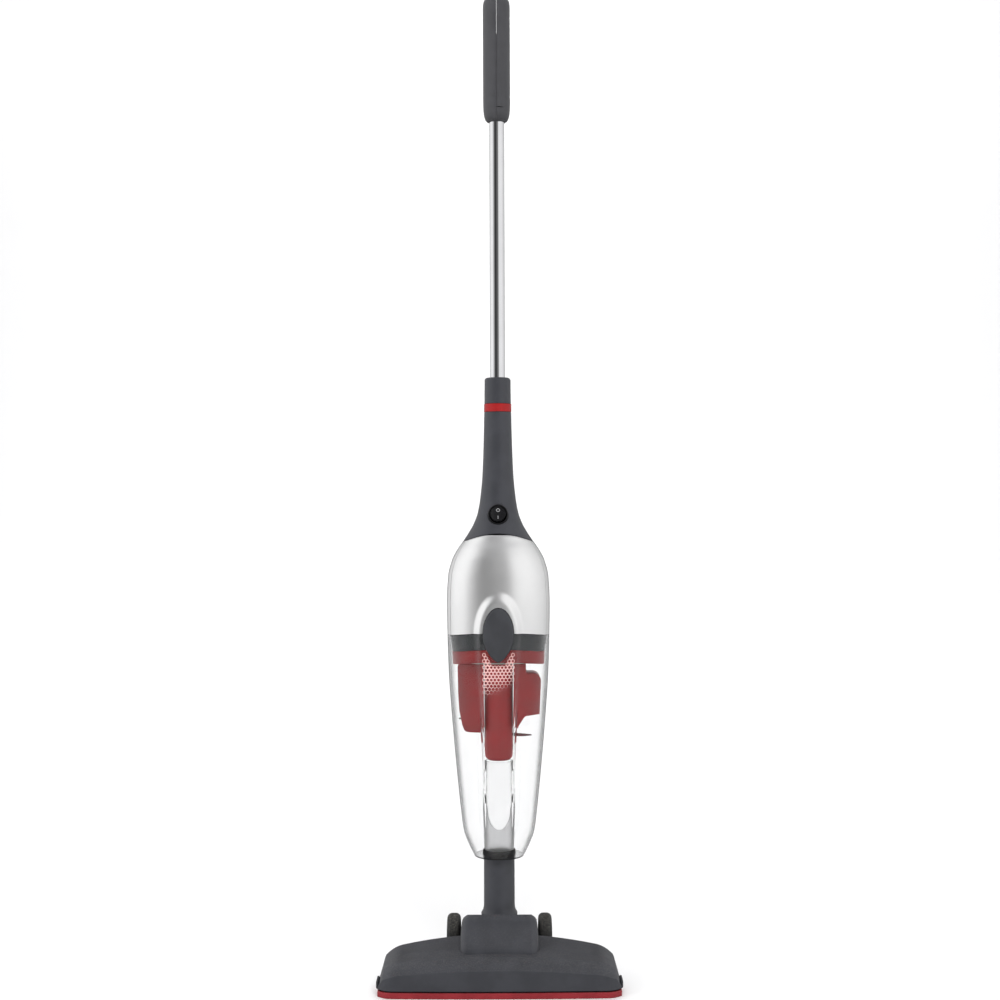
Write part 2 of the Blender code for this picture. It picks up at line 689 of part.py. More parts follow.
def make_separator():
    joint = "separator_slide"
    levels = ((FLANGE_BOTTOM, 4.9), (FLANGE_TOP, 4.7))
    flange = loft("separator_flange", [body_ring(z, i * MM, rise=True) for z, i in levels],
                  RED, joint)
    pocket = loft("flange_pocket", [body_ring(z * MM, 7.2 * MM) for z in (366.0, 390.0)])
    cut(flange, pocket,
        rod("flange_outlet", 12.5 * MM, (-29 * MM, 2 * MM, 355 * MM), 20 * MM, sides=24))
    loft("motor_filter", [body_ring(z * MM, 9.0 * MM, 28) for z in (366.4, 377.0)], FILTER,
         joint)
    column = turned("cyclone_column", (
        (16.3, 363.1), (16.3, 262.0), (15.4, 256.5), (12.6, 253.2), (9.0, 252.6), (9.0, 254.6),
        (12.0, 255.4), (14.3, 262.5), (14.3, 361.0), (3.0, 361.0), (3.0, 363.1),
    ), RED, joint, sides=24)
    cut(column, block("column_outlet", (-4 * MM, 5 * MM, 288 * MM), (11 * MM, 40 * MM, 352 * MM)))
    cage = block("filter_cage", (-44.5 * MM, -15 * MM, 285.5 * MM), (-17.2 * MM, 20 * MM, 363.1 * MM),
                 RED, joint)
    cut(cage, block("cage_room", (-42.5 * MM, -13 * MM, 287.5 * MM), (-19.2 * MM, 18 * MM, 380 * MM)))
    for index in range(4):
        low = (291 + 18 * index) * MM
        cut(cage, block(f"cage_window_{index}", (-40 * MM, 10 * MM, low),
                        (-21.5 * MM, 30 * MM, low + 14 * MM)))
    block("cage_filter", (-41.5 * MM, -12 * MM, 288 * MM), (-20.2 * MM, 16 * MM, 362.5 * MM),
          FILTER, joint)
    corner = [(48.0 - 9 + 9 * math.cos(a), 353.0 - 9 + 9 * math.sin(a))
              for a in (math.radians(15 * k) for k in range(7))]
    outline = ([(17.2, 291.0), (20.6, 290.0), (29.7, 304.0), (48.0, 306.5)] + corner
               + [(31.0, 353.0), (31.0, 363.1), (17.2, 363.1)])
    deflector = plate_y("air_deflector", [(x * MM, z * MM) for x, z in outline],
                        -15 * MM, 33 * MM, RED, joint)
    cut(deflector,
        block("deflector_room", (19.2 * MM, -13 * MM, 309 * MM), (45.5 * MM, 40 * MM, 349 * MM)))
    block("spiral_fin", (16.7 * MM, -13 * MM, 280.0 * MM), (37.7 * MM, 9 * MM, 283.2 * MM), RED, joint)


# ------------------------------------------------------------------ motor unit

def make_front_shell():
    rows = []
    steps = 7
    for index in range(steps + 1):
        share = index / steps
        row = []
        mean = PARTING + GAP + share * (SEAM - PARTING)
        for turn in front_turns(min(mean, HOOD_TOP), 6):
            low = PARTING + GAP + parting_rise(turn)
            high = seam_height(turn) - GAP / 2
            row.append(body_point(turn, low + (high - low) * share, ridge=True))
        rows.append(row)
    front = shell("front_shell", rows, WALL, SILVER, "motor_slide")
    cut(front, button_opening("shell_button_opening"))
    return front


def make_rear_shell():
    rows = []
    steps = 6
    for index in range(steps + 1):
        share = index / steps
        row = []
        for column in range(17):
            turn = math.pi * (0.0016 + 0.9968 * column / 16)
            low, high = PARTING + GAP, seam_height(turn) - GAP / 2
            row.append(body_point(turn, low + (high - low) * share))
        rows.append(row)
    rear = shell("rear_shell", rows, WALL, DARK, "motor_slide")
    window = block("grille_window", (-27 * MM, 30 * MM, 424 * MM), (27 * MM, 70 * MM, 470 * MM))
    cut(rear, window)
    for index, (x, z) in enumerate(SHELL_SCREWS):
        cut(rear, rod(f"shell_screw_hole_{index}", 3.2 * MM, (x, 20 * MM, z), 50 * MM, "Y", sides=16))
    rows = []
    for level in (424.4, 447.0, 469.6):
        row = []
        for column in range(7):
            x = (26.6 - 53.2 * column / 6) * MM
            away = -turn_at(abs(x), level * MM)
            row.append(body_point(away if x > 0 else math.pi - away, level * MM))
        rows.append(row)
    grille = shell("exhaust_grille", rows, WALL, BLACK, "motor_slide")
    for index in range(5):
        low = (428.5 + 8.0 * index) * MM
        cut(grille, block(f"louvre_{index}", (-22 * MM, 30 * MM, low), (22 * MM, 70 * MM, low + 4.6 * MM)))
    block("exhaust_filter", (-23 * MM, 41.5 * MM, 426 * MM), (23 * MM, 45.5 * MM, 467 * MM), FILTER,
          "motor_slide")



def make_neck_shells():
    for name, first, sign in (("neck_shell_front", -180.0, -1), ("neck_shell_rear", 0.0, 1)):
        rows = []
        for index in range(8):
            share = (index / 7) ** 1.5
            row = []
            for column in range(NECK_COLUMNS + 1):
                low, high = seam_height(0.0), NECK_TOP
                trim = 0.9 * MM / along(BODY_OUTLINE, low + (high - low) * share) if sign > 0 else 0.0
                turn = math.radians(first) + trim + (math.pi - 2 * trim) * column / NECK_COLUMNS
                low = seam_height(turn) + GAP / 2
                row.append(body_point(turn, low + (high - low) * share))
            rows.append(row)
        half = shell(name, rows, WALL, DARK, "motor_slide")
        if sign < 0:
            length = 32 * MM
            cutter = rod("switch_hole", SWITCH_RADIUS + 1.9 * MM, (0, 0, 0), length, "Y")
            cutter.location = switch_point(12 * MM - length / 2)
            cutter.rotation_euler = (-SWITCH_LEAN, 0.0, 0.0)
            cut(half, cutter)
        else:
            cut(half, rod("gland_hole", 6.3 * MM, (0, 5 * MM, GLAND_Z), 40 * MM, "Y", sides=24),
                rod("hook_pin_hole", 2.7 * MM, (0, 5 * MM, HOOK_Z), 40 * MM, "Y", sides=16))



def make_neck_fittings():
    joint = "motor_slide"
    turned("red_band", ((15.6, 659.0), (15.6, 650.0), (13.0, 650.0), (13.0, 659.0)), RED, joint,
           sides=24)
    rounding = [(14.9 - 3.4 + 3.4 * math.cos(a), 689.0 - 3.4 + 3.4 * math.sin(a))
                for a in (math.radians(90 - 30 * k) for k in range(4))]
    turned("neck_collar", rounding + [(15.1, 659.4), (8.9, 659.4), (8.9, 689.0)], DARK, joint,
           sides=24)
    turned("tube_socket", ((12.6, 659.0), (12.3, 592.0), (4.0, 592.0), (4.0, 596.0), (8.9, 596.0),
                           (8.9, 659.0)), BLACK, joint, sides=24)
    bezel = turned("switch_bezel", ((9.9, 1.2), (11.0, 1.2), (11.6, 0.6), (11.6, -2.0), (9.9, -2.0)),
                   BLACK, joint, switch_point(0.0), "Y", 28)
    body = turned("switch_body", ((9.9, 20.0), (9.9, 1.6), (9.75, 1.6), (9.75, 10.6), (2.0, 10.6),
                                  (2.0, 20.0)), BLACK, joint, switch_point(0.0), "Y", 24)
    for piece in (bezel, body):
        piece.rotation_euler = (-math.pi / 2 - SWITCH_LEAN, 0.0, 0.0)
    turned("cord_gland", ((4.8, 18.0), (6.0, 3.0), (6.0, -6.0), (3.6, -6.0), (3.6, 18.0)), RUBBER,
           joint, (0, 16.5 * MM, GLAND_Z), "Y", 24)


def make_motor():
    joint = "motor_slide"
    levels = ((378.0, 4.9), (395.9, 2.9))
    ring = loft("motor_base_ring", [body_ring(z * MM, i * MM, rise=True) for z, i in levels],
                DARK, joint)
    pocket = loft("ring_pocket", [body_ring(z * MM, i * MM) for z, i in
                                  ((381.0, 7.4), (405.0, 5.4))])
    cut(ring, pocket, rod("motor_intake", 26 * MM, (0, 0, 370 * MM), 20 * MM, sides=32))
    turned("fan_shroud", (
        (46.0, 424.0), (46.0, 402.0), (44.0, 400.4), (16.0, 400.4), (16.0, 402.2), (44.0, 402.2),
        (44.4, 422.2), (14.0, 422.2), (14.0, 424.0),
    ), STEEL, joint, sides=20)
    turned("lower_motor_mount", ((50.2, 416.0), (50.2, 408.0), (46.4, 408.0), (46.4, 416.0)), RUBBER,
           joint, sides=32)
    turned("motor_housing", (
        (38.0, 478.0), (38.0, 424.4), (11.4, 424.4), (11.4, 432.0), (13.4, 432.0), (13.4, 426.4),
        (36.6, 426.4), (36.6, 477.0), (13.4, 479.0), (13.4, 481.0), (11.4, 481.0), (11.4, 489.0),
        (14.0, 489.0), (14.6, 481.6),
    ), BLACK, joint, sides=20)
    turned("upper_motor_mount", ((17.6, 487.5), (17.6, 482.0), (14.9, 482.0), (14.5, 487.5)), RUBBER,
           joint, sides=28)
    turned("stator", ((36.2, 470.0), (36.2, 436.0), (24.0, 436.0), (24.0, 470.0)), COPPER, joint,
           sides=20)
    for name, z in (("lower_bearing", 425.0), ("upper_bearing", 482.0)):
        turned(name, ((11.1, z + 6.5), (11.1, z), (4.3, z), (4.3, z + 6.5)), STEEL, joint, sides=16)
    for side, name in ((-1, "left"), (1, "right")):
        low, high = sorted((side * 10.8 * MM, side * 34.0 * MM))
        block(f"carbon_brush_{name}", (low, -3.5 * MM, 471.5 * MM), (high, 3.5 * MM, 476.5 * MM),
              COPPER, joint)


def make_rotor():
    joint = "rotor_axis"
    rod("motor_shaft", 4.0 * MM, (0, 0, 404 * MM), 87 * MM, look=STEEL, joint=joint, sides=20)
    turned("armature", ((23.2, 468.0), (23.2, 438.0), (4.3, 438.0), (4.3, 468.0)), COPPER, joint,
           sides=20)
    turned("commutator", ((10.4, 479.0), (10.4, 469.0), (4.3, 469.0), (4.3, 479.0)), COPPER, joint,
           sides=16)
    impeller = turned("impeller", ((43.0, 420.0), (43.0, 418.6), (9.0, 418.6), (7.0, 406.0),
                                   (4.3, 406.0), (4.3, 420.0)), STEEL, joint, sides=21)
    for index in range(7):
        vane = block(f"vane_{index}", (8 * MM, -0.6 * MM, 406 * MM), (41.5 * MM, 0.6 * MM, 419.2 * MM))
        angle = 2 * math.pi * index / 7
        vane.rotation_euler = (0.0, 0.0, angle)
        middle = Vector((24.75 * MM, 0.0, 412.6 * MM))
        vane.location = Matrix.Rotation(angle, 3, "Z") @ middle
        join(impeller, vane)


# ---------------------------------------------------- controls, handle and hook

def make_switch_rocker():
    rocker = rod("switch_rocker", SWITCH_RADIUS - MM, (0, 0, 0), 8 * MM, "Y", BLACK, "rocker_axis", 28)
    rocker.location = (0.0, 0.0, 0.0)
    rocker.rotation_euler = (-SWITCH_LEAN - ROCKER_TILT, 0.0, 0.0)


def make_release_button():
    joint = "button_slide"
    outline = button_outline(BUTTON_HALF_WIDTH, BUTTON_HALF_HEIGHT, 0.0)
    place = JOINTS[joint].location
    button = plate_y("release_button", outline, 0.0, BUTTON_THICKNESS, DARK, joint)
    button.location = (0.0, BUTTON_THICKNESS / 2, 0.0)
    bevel = button.modifiers.new("rounded edges", "BEVEL")
    bevel.width = 1.2 * MM
    bevel.segments = 2
    bevel.limit_method = "ANGLE"
    bevel.angle_limit = math.radians(50)
    back = place.y + BUTTON_THICKNESS
    turns, points_a_turn = 4, 8
    curve = bpy.data.curves.new("release_spring", "CURVE")
    curve.dimensions = "3D"
    curve.bevel_depth = 0.45 * MM
    curve.bevel_resolution = 0
    curve.use_fill_caps = True
    spline = curve.splines.new("POLY")
    spline.points.add(turns * points_a_turn)
    length = -47.2 * MM - back - 1.6 * MM
    for index, point in enumerate(spline.points):
        angle = 2 * math.pi * index / points_a_turn
        share = index / (turns * points_a_turn)
        point.co = (3.6 * MM * math.cos(angle), back + 0.8 * MM + length * share,
                    420 * MM + 3.6 * MM * math.sin(angle), 1.0)
    spring = bpy.data.objects.new("release_spring", curve)
    spring.parent = JOINTS["motor_slide"]
    spring.location = -JOINTS["motor_slide"].location
    curve.materials.append(STEEL)
    PARTS.objects.link(spring)


def grip_ring(height, scale, steps=24):
    """One ring of the grip: an oval with a soft crease down its front."""
    ring = []
    for index in range(steps):
        turn = 2 * math.pi * (index + 0.5) / steps
        x = 15.4 * scale * math.cos(turn)
        y = 17.0 * scale * math.sin(turn)
        if y < 0:
            y -= 1.6 * scale * max(0.0, 1 - abs(x) / (9.0 * scale))
        ring.append(Vector((x * MM, y * MM, height * MM)))
    return ring


def make_handle():
    joint = "handle_slide"
    radius = TUBE_RADIUS / MM
    top, bottom = TUBE_TOP / MM, TUBE_BOTTOM / MM
    turned("handle_tube", ((radius, top), (radius, bottom), (radius - 1, bottom), (radius - 1, top)),
           CHROME, joint, sides=24)
    levels = ((981.5, 0.70), (984.0, 0.84), (990.0, 0.955), (1000.0, 1.0),
              (1113.0, 1.0), (1119.0, 0.92), (1121.0, 0.72))
    for side, name in ((-1, "left"), (1, "right")):
        half = loft(f"grip_{name}", [grip_ring(*level) for level in levels], DARK, joint)
        low, high = sorted((-side * 30 * MM, side * 0.15 * MM))
        away = block(f"grip_trim_{name}", (low, -40 * MM, 970 * MM), (high, 40 * MM, 1130 * MM))
        bore = rod(f"grip_bore_{name}", TUBE_RADIUS + GAP, (0, 0, 970 * MM), 110.4 * MM, sides=24)
        cut(half, away, bore)
        if side > 0:
            for index, z in enumerate((1010 * MM, 1100 * MM)):
                cut(half, rod(f"grip_screw_hole_{index}", 2.9 * MM, (12.2 * MM, 0, z), 20 * MM, "X",
                              sides=16))
    arm = block("upper_cord_hook", (-5 * MM, 17.4 * MM, 1020 * MM), (5 * MM, 40 * MM, 1025 * MM),
                DARK, joint)
    pad = block("hook_pad_form", (-6 * MM, 17.4 * MM, 1014 * MM), (6 * MM, 20.4 * MM, 1034 * MM))
    tip = block("hook_tip_form", (-5 * MM, 36 * MM, 1021 * MM), (5 * MM, 40 * MM, 1040 * MM))
    join(arm, pad, tip)


def make_cord_hook():
    joint = "hook_axis"
    disc = rod("cord_hook", 8.0 * MM, (0, HOOK_Y + 0.3 * MM, HOOK_Z), 4.0 * MM, "Y", DARK, joint, 28)
    arm = block("arm_form", (-5 * MM, HOOK_Y + 3 * MM, HOOK_Z - 6 * MM),
                (5 * MM, 42 * MM, HOOK_Z - 1.5 * MM))
    tip = block("tip_form", (-5 * MM, 38 * MM, HOOK_Z - 21 * MM), (5 * MM, 42 * MM, HOOK_Z - 2 * MM))
    join(disc, arm, tip)
    cut(disc, rod("hook_bore", 2.7 * MM, (0, 0, HOOK_Z), 24 * MM, "Y", sides=16))
    rod("hook_pin", 2.4 * MM, (0, 14.4 * MM, HOOK_Z), 8.8 * MM, "Y", STEEL, "motor_slide", 16)


def main():
    make_head_base()
    make_head_cover()
    make_bumper()
    make_head_trim()
    make_pivot_caps()
    make_wheels()
    make_neck()
    make_dust_cup()
    make_separator()
    make_front_shell()
    make_rear_shell()
    make_neck_shells()
    make_neck_fittings()
    make_motor()
    make_rotor()
    make_switch_rocker()
    make_release_button()
    make_handle()
    make_cord_hook()


main()
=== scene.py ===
"""Looks of the upright stick vacuum cleaner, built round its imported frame.

Lengths are metres in the frame's own axes: +Z up, the machine faces -Y.
"""

import json
import logging
import math
from dataclasses import dataclass, field
from enum import Enum
from typing import Callable, Iterable, Sequence

import bmesh
import bpy
from mathutils import Matrix, Vector

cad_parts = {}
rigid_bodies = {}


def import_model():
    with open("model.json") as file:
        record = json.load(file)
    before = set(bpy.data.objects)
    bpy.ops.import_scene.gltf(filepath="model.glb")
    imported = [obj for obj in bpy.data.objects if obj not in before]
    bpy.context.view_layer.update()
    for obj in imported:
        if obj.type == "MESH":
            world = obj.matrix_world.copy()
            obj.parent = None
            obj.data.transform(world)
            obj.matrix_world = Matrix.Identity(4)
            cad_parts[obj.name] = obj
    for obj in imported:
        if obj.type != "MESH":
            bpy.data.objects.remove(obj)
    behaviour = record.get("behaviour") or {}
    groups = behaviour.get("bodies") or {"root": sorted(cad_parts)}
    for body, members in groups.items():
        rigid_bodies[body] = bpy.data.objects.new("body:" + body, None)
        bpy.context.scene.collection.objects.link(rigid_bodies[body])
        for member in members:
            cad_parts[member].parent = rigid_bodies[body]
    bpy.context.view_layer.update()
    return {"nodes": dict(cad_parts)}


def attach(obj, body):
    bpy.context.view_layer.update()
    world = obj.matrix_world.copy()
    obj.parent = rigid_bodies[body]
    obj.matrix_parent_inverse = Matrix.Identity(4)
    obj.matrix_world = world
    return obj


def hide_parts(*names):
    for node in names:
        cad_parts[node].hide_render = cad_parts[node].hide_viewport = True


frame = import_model()

LOG = logging.getLogger("upright_vacuum")
MM = 0.001
FULL_TURN = 2 * math.pi
SHARP = 32.0            # edges sharper than this many degrees stay sharp
Point2 = tuple[float, float]
Colour = tuple[float, float, float]


# ------------------------------------------------------------------- finishes

def tone(code: str) -> Colour:
    """Turn an sRGB hex code into linear colour.

    Args:
        code: Six hex digits.

    Returns:
        The linear red, green and blue.
    """
    parts = [int(code[i:i + 2], 16) / 255 for i in (0, 2, 4)]
    return tuple(c / 12.92 if c <= 0.04045 else ((c + 0.055) / 1.055) ** 2.4 for c in parts)


class Nodes:
    """Short-hand for building a node tree."""

    def __init__(self, tree: bpy.types.NodeTree) -> None:
        """Keep the tree that nodes are added to."""
        self.tree = tree

    def add(self, kind: str, **settings: object) -> bpy.types.Node:
        """Add a node and set its properties.

        Args:
            kind: The node's type identifier.
            **settings: Property names and values.

        Returns:
            The new node.
        """
        node = self.tree.nodes.new(kind)
        for key, value in settings.items():
            setattr(node, key, value)
        return node

    def noise(self, place_at: bpy.types.NodeSocket, scale: object, detail: float = 2.0
              ) -> bpy.types.NodeSocket:
        """Add a noise texture.

        Args:
            place_at: The coordinates' socket.
            scale: Its scale, a socket or a number.
            detail: Its number of octaves.

        Returns:
            The noise's socket.
        """
        node = self.add("ShaderNodeTexNoise")
        self.link(place_at, node.inputs["Vector"])
        if isinstance(scale, (int, float)):
            node.inputs["Scale"].default_value = scale
        else:
            self.link(scale, node.inputs["Scale"])
        node.inputs["Detail"].default_value = detail
        return node.outputs["Fac"]

    def link(self, source: bpy.types.NodeSocket, target: bpy.types.NodeSocket) -> None:
        """Join an output to an input."""
        self.tree.links.new(source, target)

    def math(self, operation: str, first: object, second: object = 0.0,
             third: object = 0.0) -> bpy.types.NodeSocket:
        """Add a Math node whose inputs are sockets or numbers.

        Args:
            operation: The Math operation.
            first: First input.
            second: Second input.
            third: Third input.

        Returns:
            The result's socket.
        """
        node = self.add("ShaderNodeMath", operation=operation)
        for socket, value in zip(node.inputs, (first, second, third)):
            if isinstance(value, (int, float)):
                socket.default_value = value
            else:
                self.link(value, socket)
        return node.outputs[0]

    def ramp(self, value: bpy.types.NodeSocket, low: float, high: float, start: float = 0.0,
             end: float = 1.0) -> bpy.types.NodeSocket:
        """Map a value smoothly from one range to another.

        Args:
            value: The socket to map.
            low: Input at which the result is start.
            high: Input at which the result is end.
            start: Result at low.
            end: Result at high.

        Returns:
            The mapped socket.
        """
        node = self.add("ShaderNodeMapRange", interpolation_type="SMOOTHSTEP")
        self.link(value, node.inputs["Value"])
        limits = {"From Min": low, "From Max": high, "To Min": start, "To Max": end}
        for key, number in limits.items():
            node.inputs[key].default_value = number
        return node.outputs["Result"]

    def mix(self, amount: object, first: object, second: object) -> bpy.types.NodeSocket:
        """Mix two colours.

        Args:
            amount: Share of the second, a socket or a number.
            first: First colour, a socket or a tuple.
            second: Second colour, a socket or a tuple.

        Returns:
            The mixed colour's socket.
        """
        node = self.add("ShaderNodeMix", data_type="RGBA")
        for index, value in ((0, amount), (6, first), (7, second)):
            socket = node.inputs[index]
            if isinstance(value, bpy.types.NodeSocket):
                self.link(value, socket)
            elif isinstance(value, (int, float)):
                socket.default_value = value
            else:
                socket.default_value = (*value, 1.0)
        return node.outputs[2]


def new_group(name: str, inputs: dict[str, float], outputs: Sequence[str]) -> tuple:
    """Make an empty shader node group with float inputs and outputs.

    Args:
        name: The group's name.
        inputs: Input names and default values.
        outputs: Output names.

    Returns:
        The group, its Nodes helper, its input node and its output node.
    """
    group = bpy.data.node_groups.new(name, "ShaderNodeTree")
    for key, value in inputs.items():
        socket = group.interface.new_socket(key, in_out="INPUT", socket_type="NodeSocketFloat")
        socket.default_value = value
    for key in outputs:
        group.interface.new_socket(key, in_out="OUTPUT", socket_type="NodeSocketFloat")
    nodes = Nodes(group)
    return group, nodes, nodes.add("NodeGroupInput"), nodes.add("NodeGroupOutput")


def grain_group() -> bpy.types.NodeTree:
    """Fine moulding texture with a slow drift over it, as Height and Drift."""
    group, n, given, result = new_group("moulded_grain", {"Size": 0.0005, "Unevenness": 0.02},
                                        ("Height", "Drift"))
    coordinates = n.add("ShaderNodeTexCoord").outputs["Object"]
    for size, output in (("Size", "Height"), ("Unevenness", "Drift")):
        noise = n.noise(coordinates, n.math("DIVIDE", 1.0, given.outputs[size]), 3.0)
        n.link(noise, result.inputs[output])
    return group


def scratch_group() -> bpy.types.NodeTree:
    """Sparse hair scratches that run mostly upright, as a Mask."""
    group, n, given, result = new_group(
        "hair_scratches", {"Spacing": 0.006, "Amount": 0.5}, ("Mask",))
    coordinates = n.add("ShaderNodeTexCoord").outputs["Object"]
    masks = []
    for tilt in (0.25, -0.5):
        turn = n.add("ShaderNodeMapping")
        n.link(coordinates, turn.inputs["Vector"])
        turn.inputs["Rotation"].default_value = (tilt, tilt * 0.6, 0.0)
        turn.inputs["Scale"].default_value = (1.0, 1.0, 0.06)
        noise = n.noise(turn.outputs[0], n.math("DIVIDE", 4.0, given.outputs["Spacing"]), 1.0)
        offset = n.math("ABSOLUTE", n.math("SUBTRACT", noise, 0.5))
        masks.append(n.ramp(offset, 0.0, 0.006, 1.0, 0.0))
    both = n.math("MAXIMUM", *masks)
    shown = n.math("MULTIPLY", both, n.ramp(n.noise(coordinates, 45.0), 0.52, 0.66))
    n.link(n.math("MULTIPLY", shown, given.outputs["Amount"]), result.inputs["Mask"])
    return group


def dust_group() -> bpy.types.NodeTree:
    """A thin veil of dust that gathers on faces turned upwards and low down, as a Mask."""
    group, n, given, result = new_group("dust_veil", {"Amount": 0.3, "Reach": 0.2}, ("Mask",))
    upward = n.add("ShaderNodeSeparateXYZ")
    n.link(n.add("ShaderNodeNewGeometry").outputs["Normal"], upward.inputs[0])
    coordinates = n.add("ShaderNodeTexCoord").outputs["Object"]
    height = n.add("ShaderNodeSeparateXYZ")
    n.link(coordinates, height.inputs[0])
    low = n.add("ShaderNodeMapRange")
    n.link(height.outputs[2], low.inputs["Value"])
    n.link(given.outputs["Reach"], low.inputs["From Max"])
    low.inputs["To Min"].default_value = 1.0
    low.inputs["To Max"].default_value = 0.15
    mask = n.math("MULTIPLY", n.ramp(upward.outputs[2], 0.2, 1.0), low.outputs["Result"])
    mask = n.math("MULTIPLY", mask, n.ramp(n.noise(coordinates, 900.0, 4.0), 0.42, 0.7))
    n.link(n.math("MULTIPLY", mask, given.outputs["Amount"]), result.inputs["Mask"])
    return group


GROUPS = {"grain": grain_group(), "scratch": scratch_group(), "dust": dust_group()}
# Painted shade: the colour clear pieces take where they are seen edge-on, standing in for their
# dark outlines.
PAINTED_RIM_SHADE: Colour = (0.05, 0.052, 0.054)
DUST_COLOUR = tone("a9a49a")


class Kind(Enum):
    """How a finish takes the light."""

    PLASTIC = "plastic"
    PAINT = "paint"
    METAL = "metal"
    CLEAR = "clear"
    SOFT = "soft"


@dataclass(frozen=True)
class Finish:
    """One material of the machine, with its grain, unevenness and wear."""

    name: str
    slot: str
    colour: Colour
    kind: Kind = Kind.PLASTIC
    roughness: float = 0.42
    grain: float = 0.5 * MM
    depth: float = 0.02 * MM
    scratches: float = 0.25
    dust: float = 0.12
    shade: float = 0.86
    # rim: facing range over which a clear piece's colour turns to the painted dark rim shade.
    rim: Point2 = (0.45, 0.92)

    def base_colour(self, n: Nodes, drift: bpy.types.NodeSocket, scratch: bpy.types.NodeSocket
                    ) -> bpy.types.NodeSocket:
        """Colour with its drift, flakes, scratches and dust, or, for a clear piece, a painted dark
        rim shade at grazing angles.

        Args:
            n: The material's helper.
            drift: The slow unevenness.
            scratch: The mask of the hair scratches.

        Returns:
            The colour's socket.
        """
        darker = tuple(c * self.shade for c in self.colour)
        colour = n.mix(n.ramp(drift, 0.35, 0.65), darker, self.colour)
        if self.kind is Kind.PAINT:
            flake = n.add("ShaderNodeTexVoronoi")
            n.link(n.add("ShaderNodeTexCoord").outputs["Object"], flake.inputs["Vector"])
            flake.inputs["Scale"].default_value = 3500.0
            bright = tuple(min(1.0, c * 1.12) for c in self.colour)
            colour = n.mix(n.ramp(flake.outputs["Distance"], 0.1, 0.5, 0.35, 0.0), colour, bright)
        worn = tuple(min(1.0, c * 1.6 + 0.02) for c in self.colour)
        colour = n.mix(n.math("MULTIPLY", scratch, 0.35), colour, worn)
        # Clear pieces darken towards grazing angles: a painted shade for their dark outlines, not
        # their own tint.
        if self.kind is Kind.CLEAR:
            facing = n.add("ShaderNodeLayerWeight")
            facing.inputs["Blend"].default_value = 0.5
            return n.mix(n.ramp(facing.outputs["Facing"], *self.rim), colour, PAINTED_RIM_SHADE)
        dust = n.add("ShaderNodeGroup", node_tree=GROUPS["dust"])
        dust.inputs["Amount"].default_value = self.dust
        return n.mix(dust.outputs["Mask"], colour, DUST_COLOUR)

    def make(self) -> bpy.types.Material:
        """Build the material.

        Returns:
            The new material.
        """
        made = bpy.data.materials.new(self.name)
        made.use_nodes = True
        n = Nodes(made.node_tree)
        shader = made.node_tree.nodes["Principled BSDF"]
        grain = n.add("ShaderNodeGroup", node_tree=GROUPS["grain"])
        grain.inputs["Size"].default_value = self.grain
        scratch = n.add("ShaderNodeGroup", node_tree=GROUPS["scratch"])
        scratch.inputs["Amount"].default_value = self.scratches
        mask, drift = scratch.outputs["Mask"], grain.outputs["Drift"]
        n.link(self.base_colour(n, drift, mask), shader.inputs["Base Color"])
        wander = self.roughness * (0.03 if self.kind is Kind.PAINT else 0.14)
        uneven = n.ramp(drift, 0.3, 0.7, self.roughness - wander, self.roughness + wander)
        n.link(n.math("ADD", uneven, n.math("MULTIPLY", mask, 0.18)), shader.inputs["Roughness"])
        bump = n.add("ShaderNodeBump")
        bump.inputs["Distance"].default_value = self.depth
        bump.inputs["Strength"].default_value = 0.6
        n.link(grain.outputs["Height"], bump.inputs["Height"])
        n.link(bump.outputs[0], shader.inputs["Normal"])
        self.set_constants(shader)
        made.diffuse_color = (*self.colour, 1.0)
        return made

    def set_constants(self, shader: bpy.types.Node) -> None:
        """Set the sockets that are the same all over the surface.

        Args:
            shader: The material's Principled BSDF.
        """
        values = {
            Kind.PLASTIC: {"IOR": 1.42, "Coat Weight": 0.0},
            Kind.PAINT: {"Metallic": 0.82, "Coat Weight": 0.2, "Coat Roughness": 0.2},
            Kind.METAL: {"Metallic": 1.0},
            Kind.CLEAR: {"Transmission Weight": 1.0, "IOR": 1.36},
            Kind.SOFT: {"Sheen Weight": 0.25, "Specular IOR Level": 0.25},
        }[self.kind]
        for key, value in values.items():
            shader.inputs[key].default_value = value


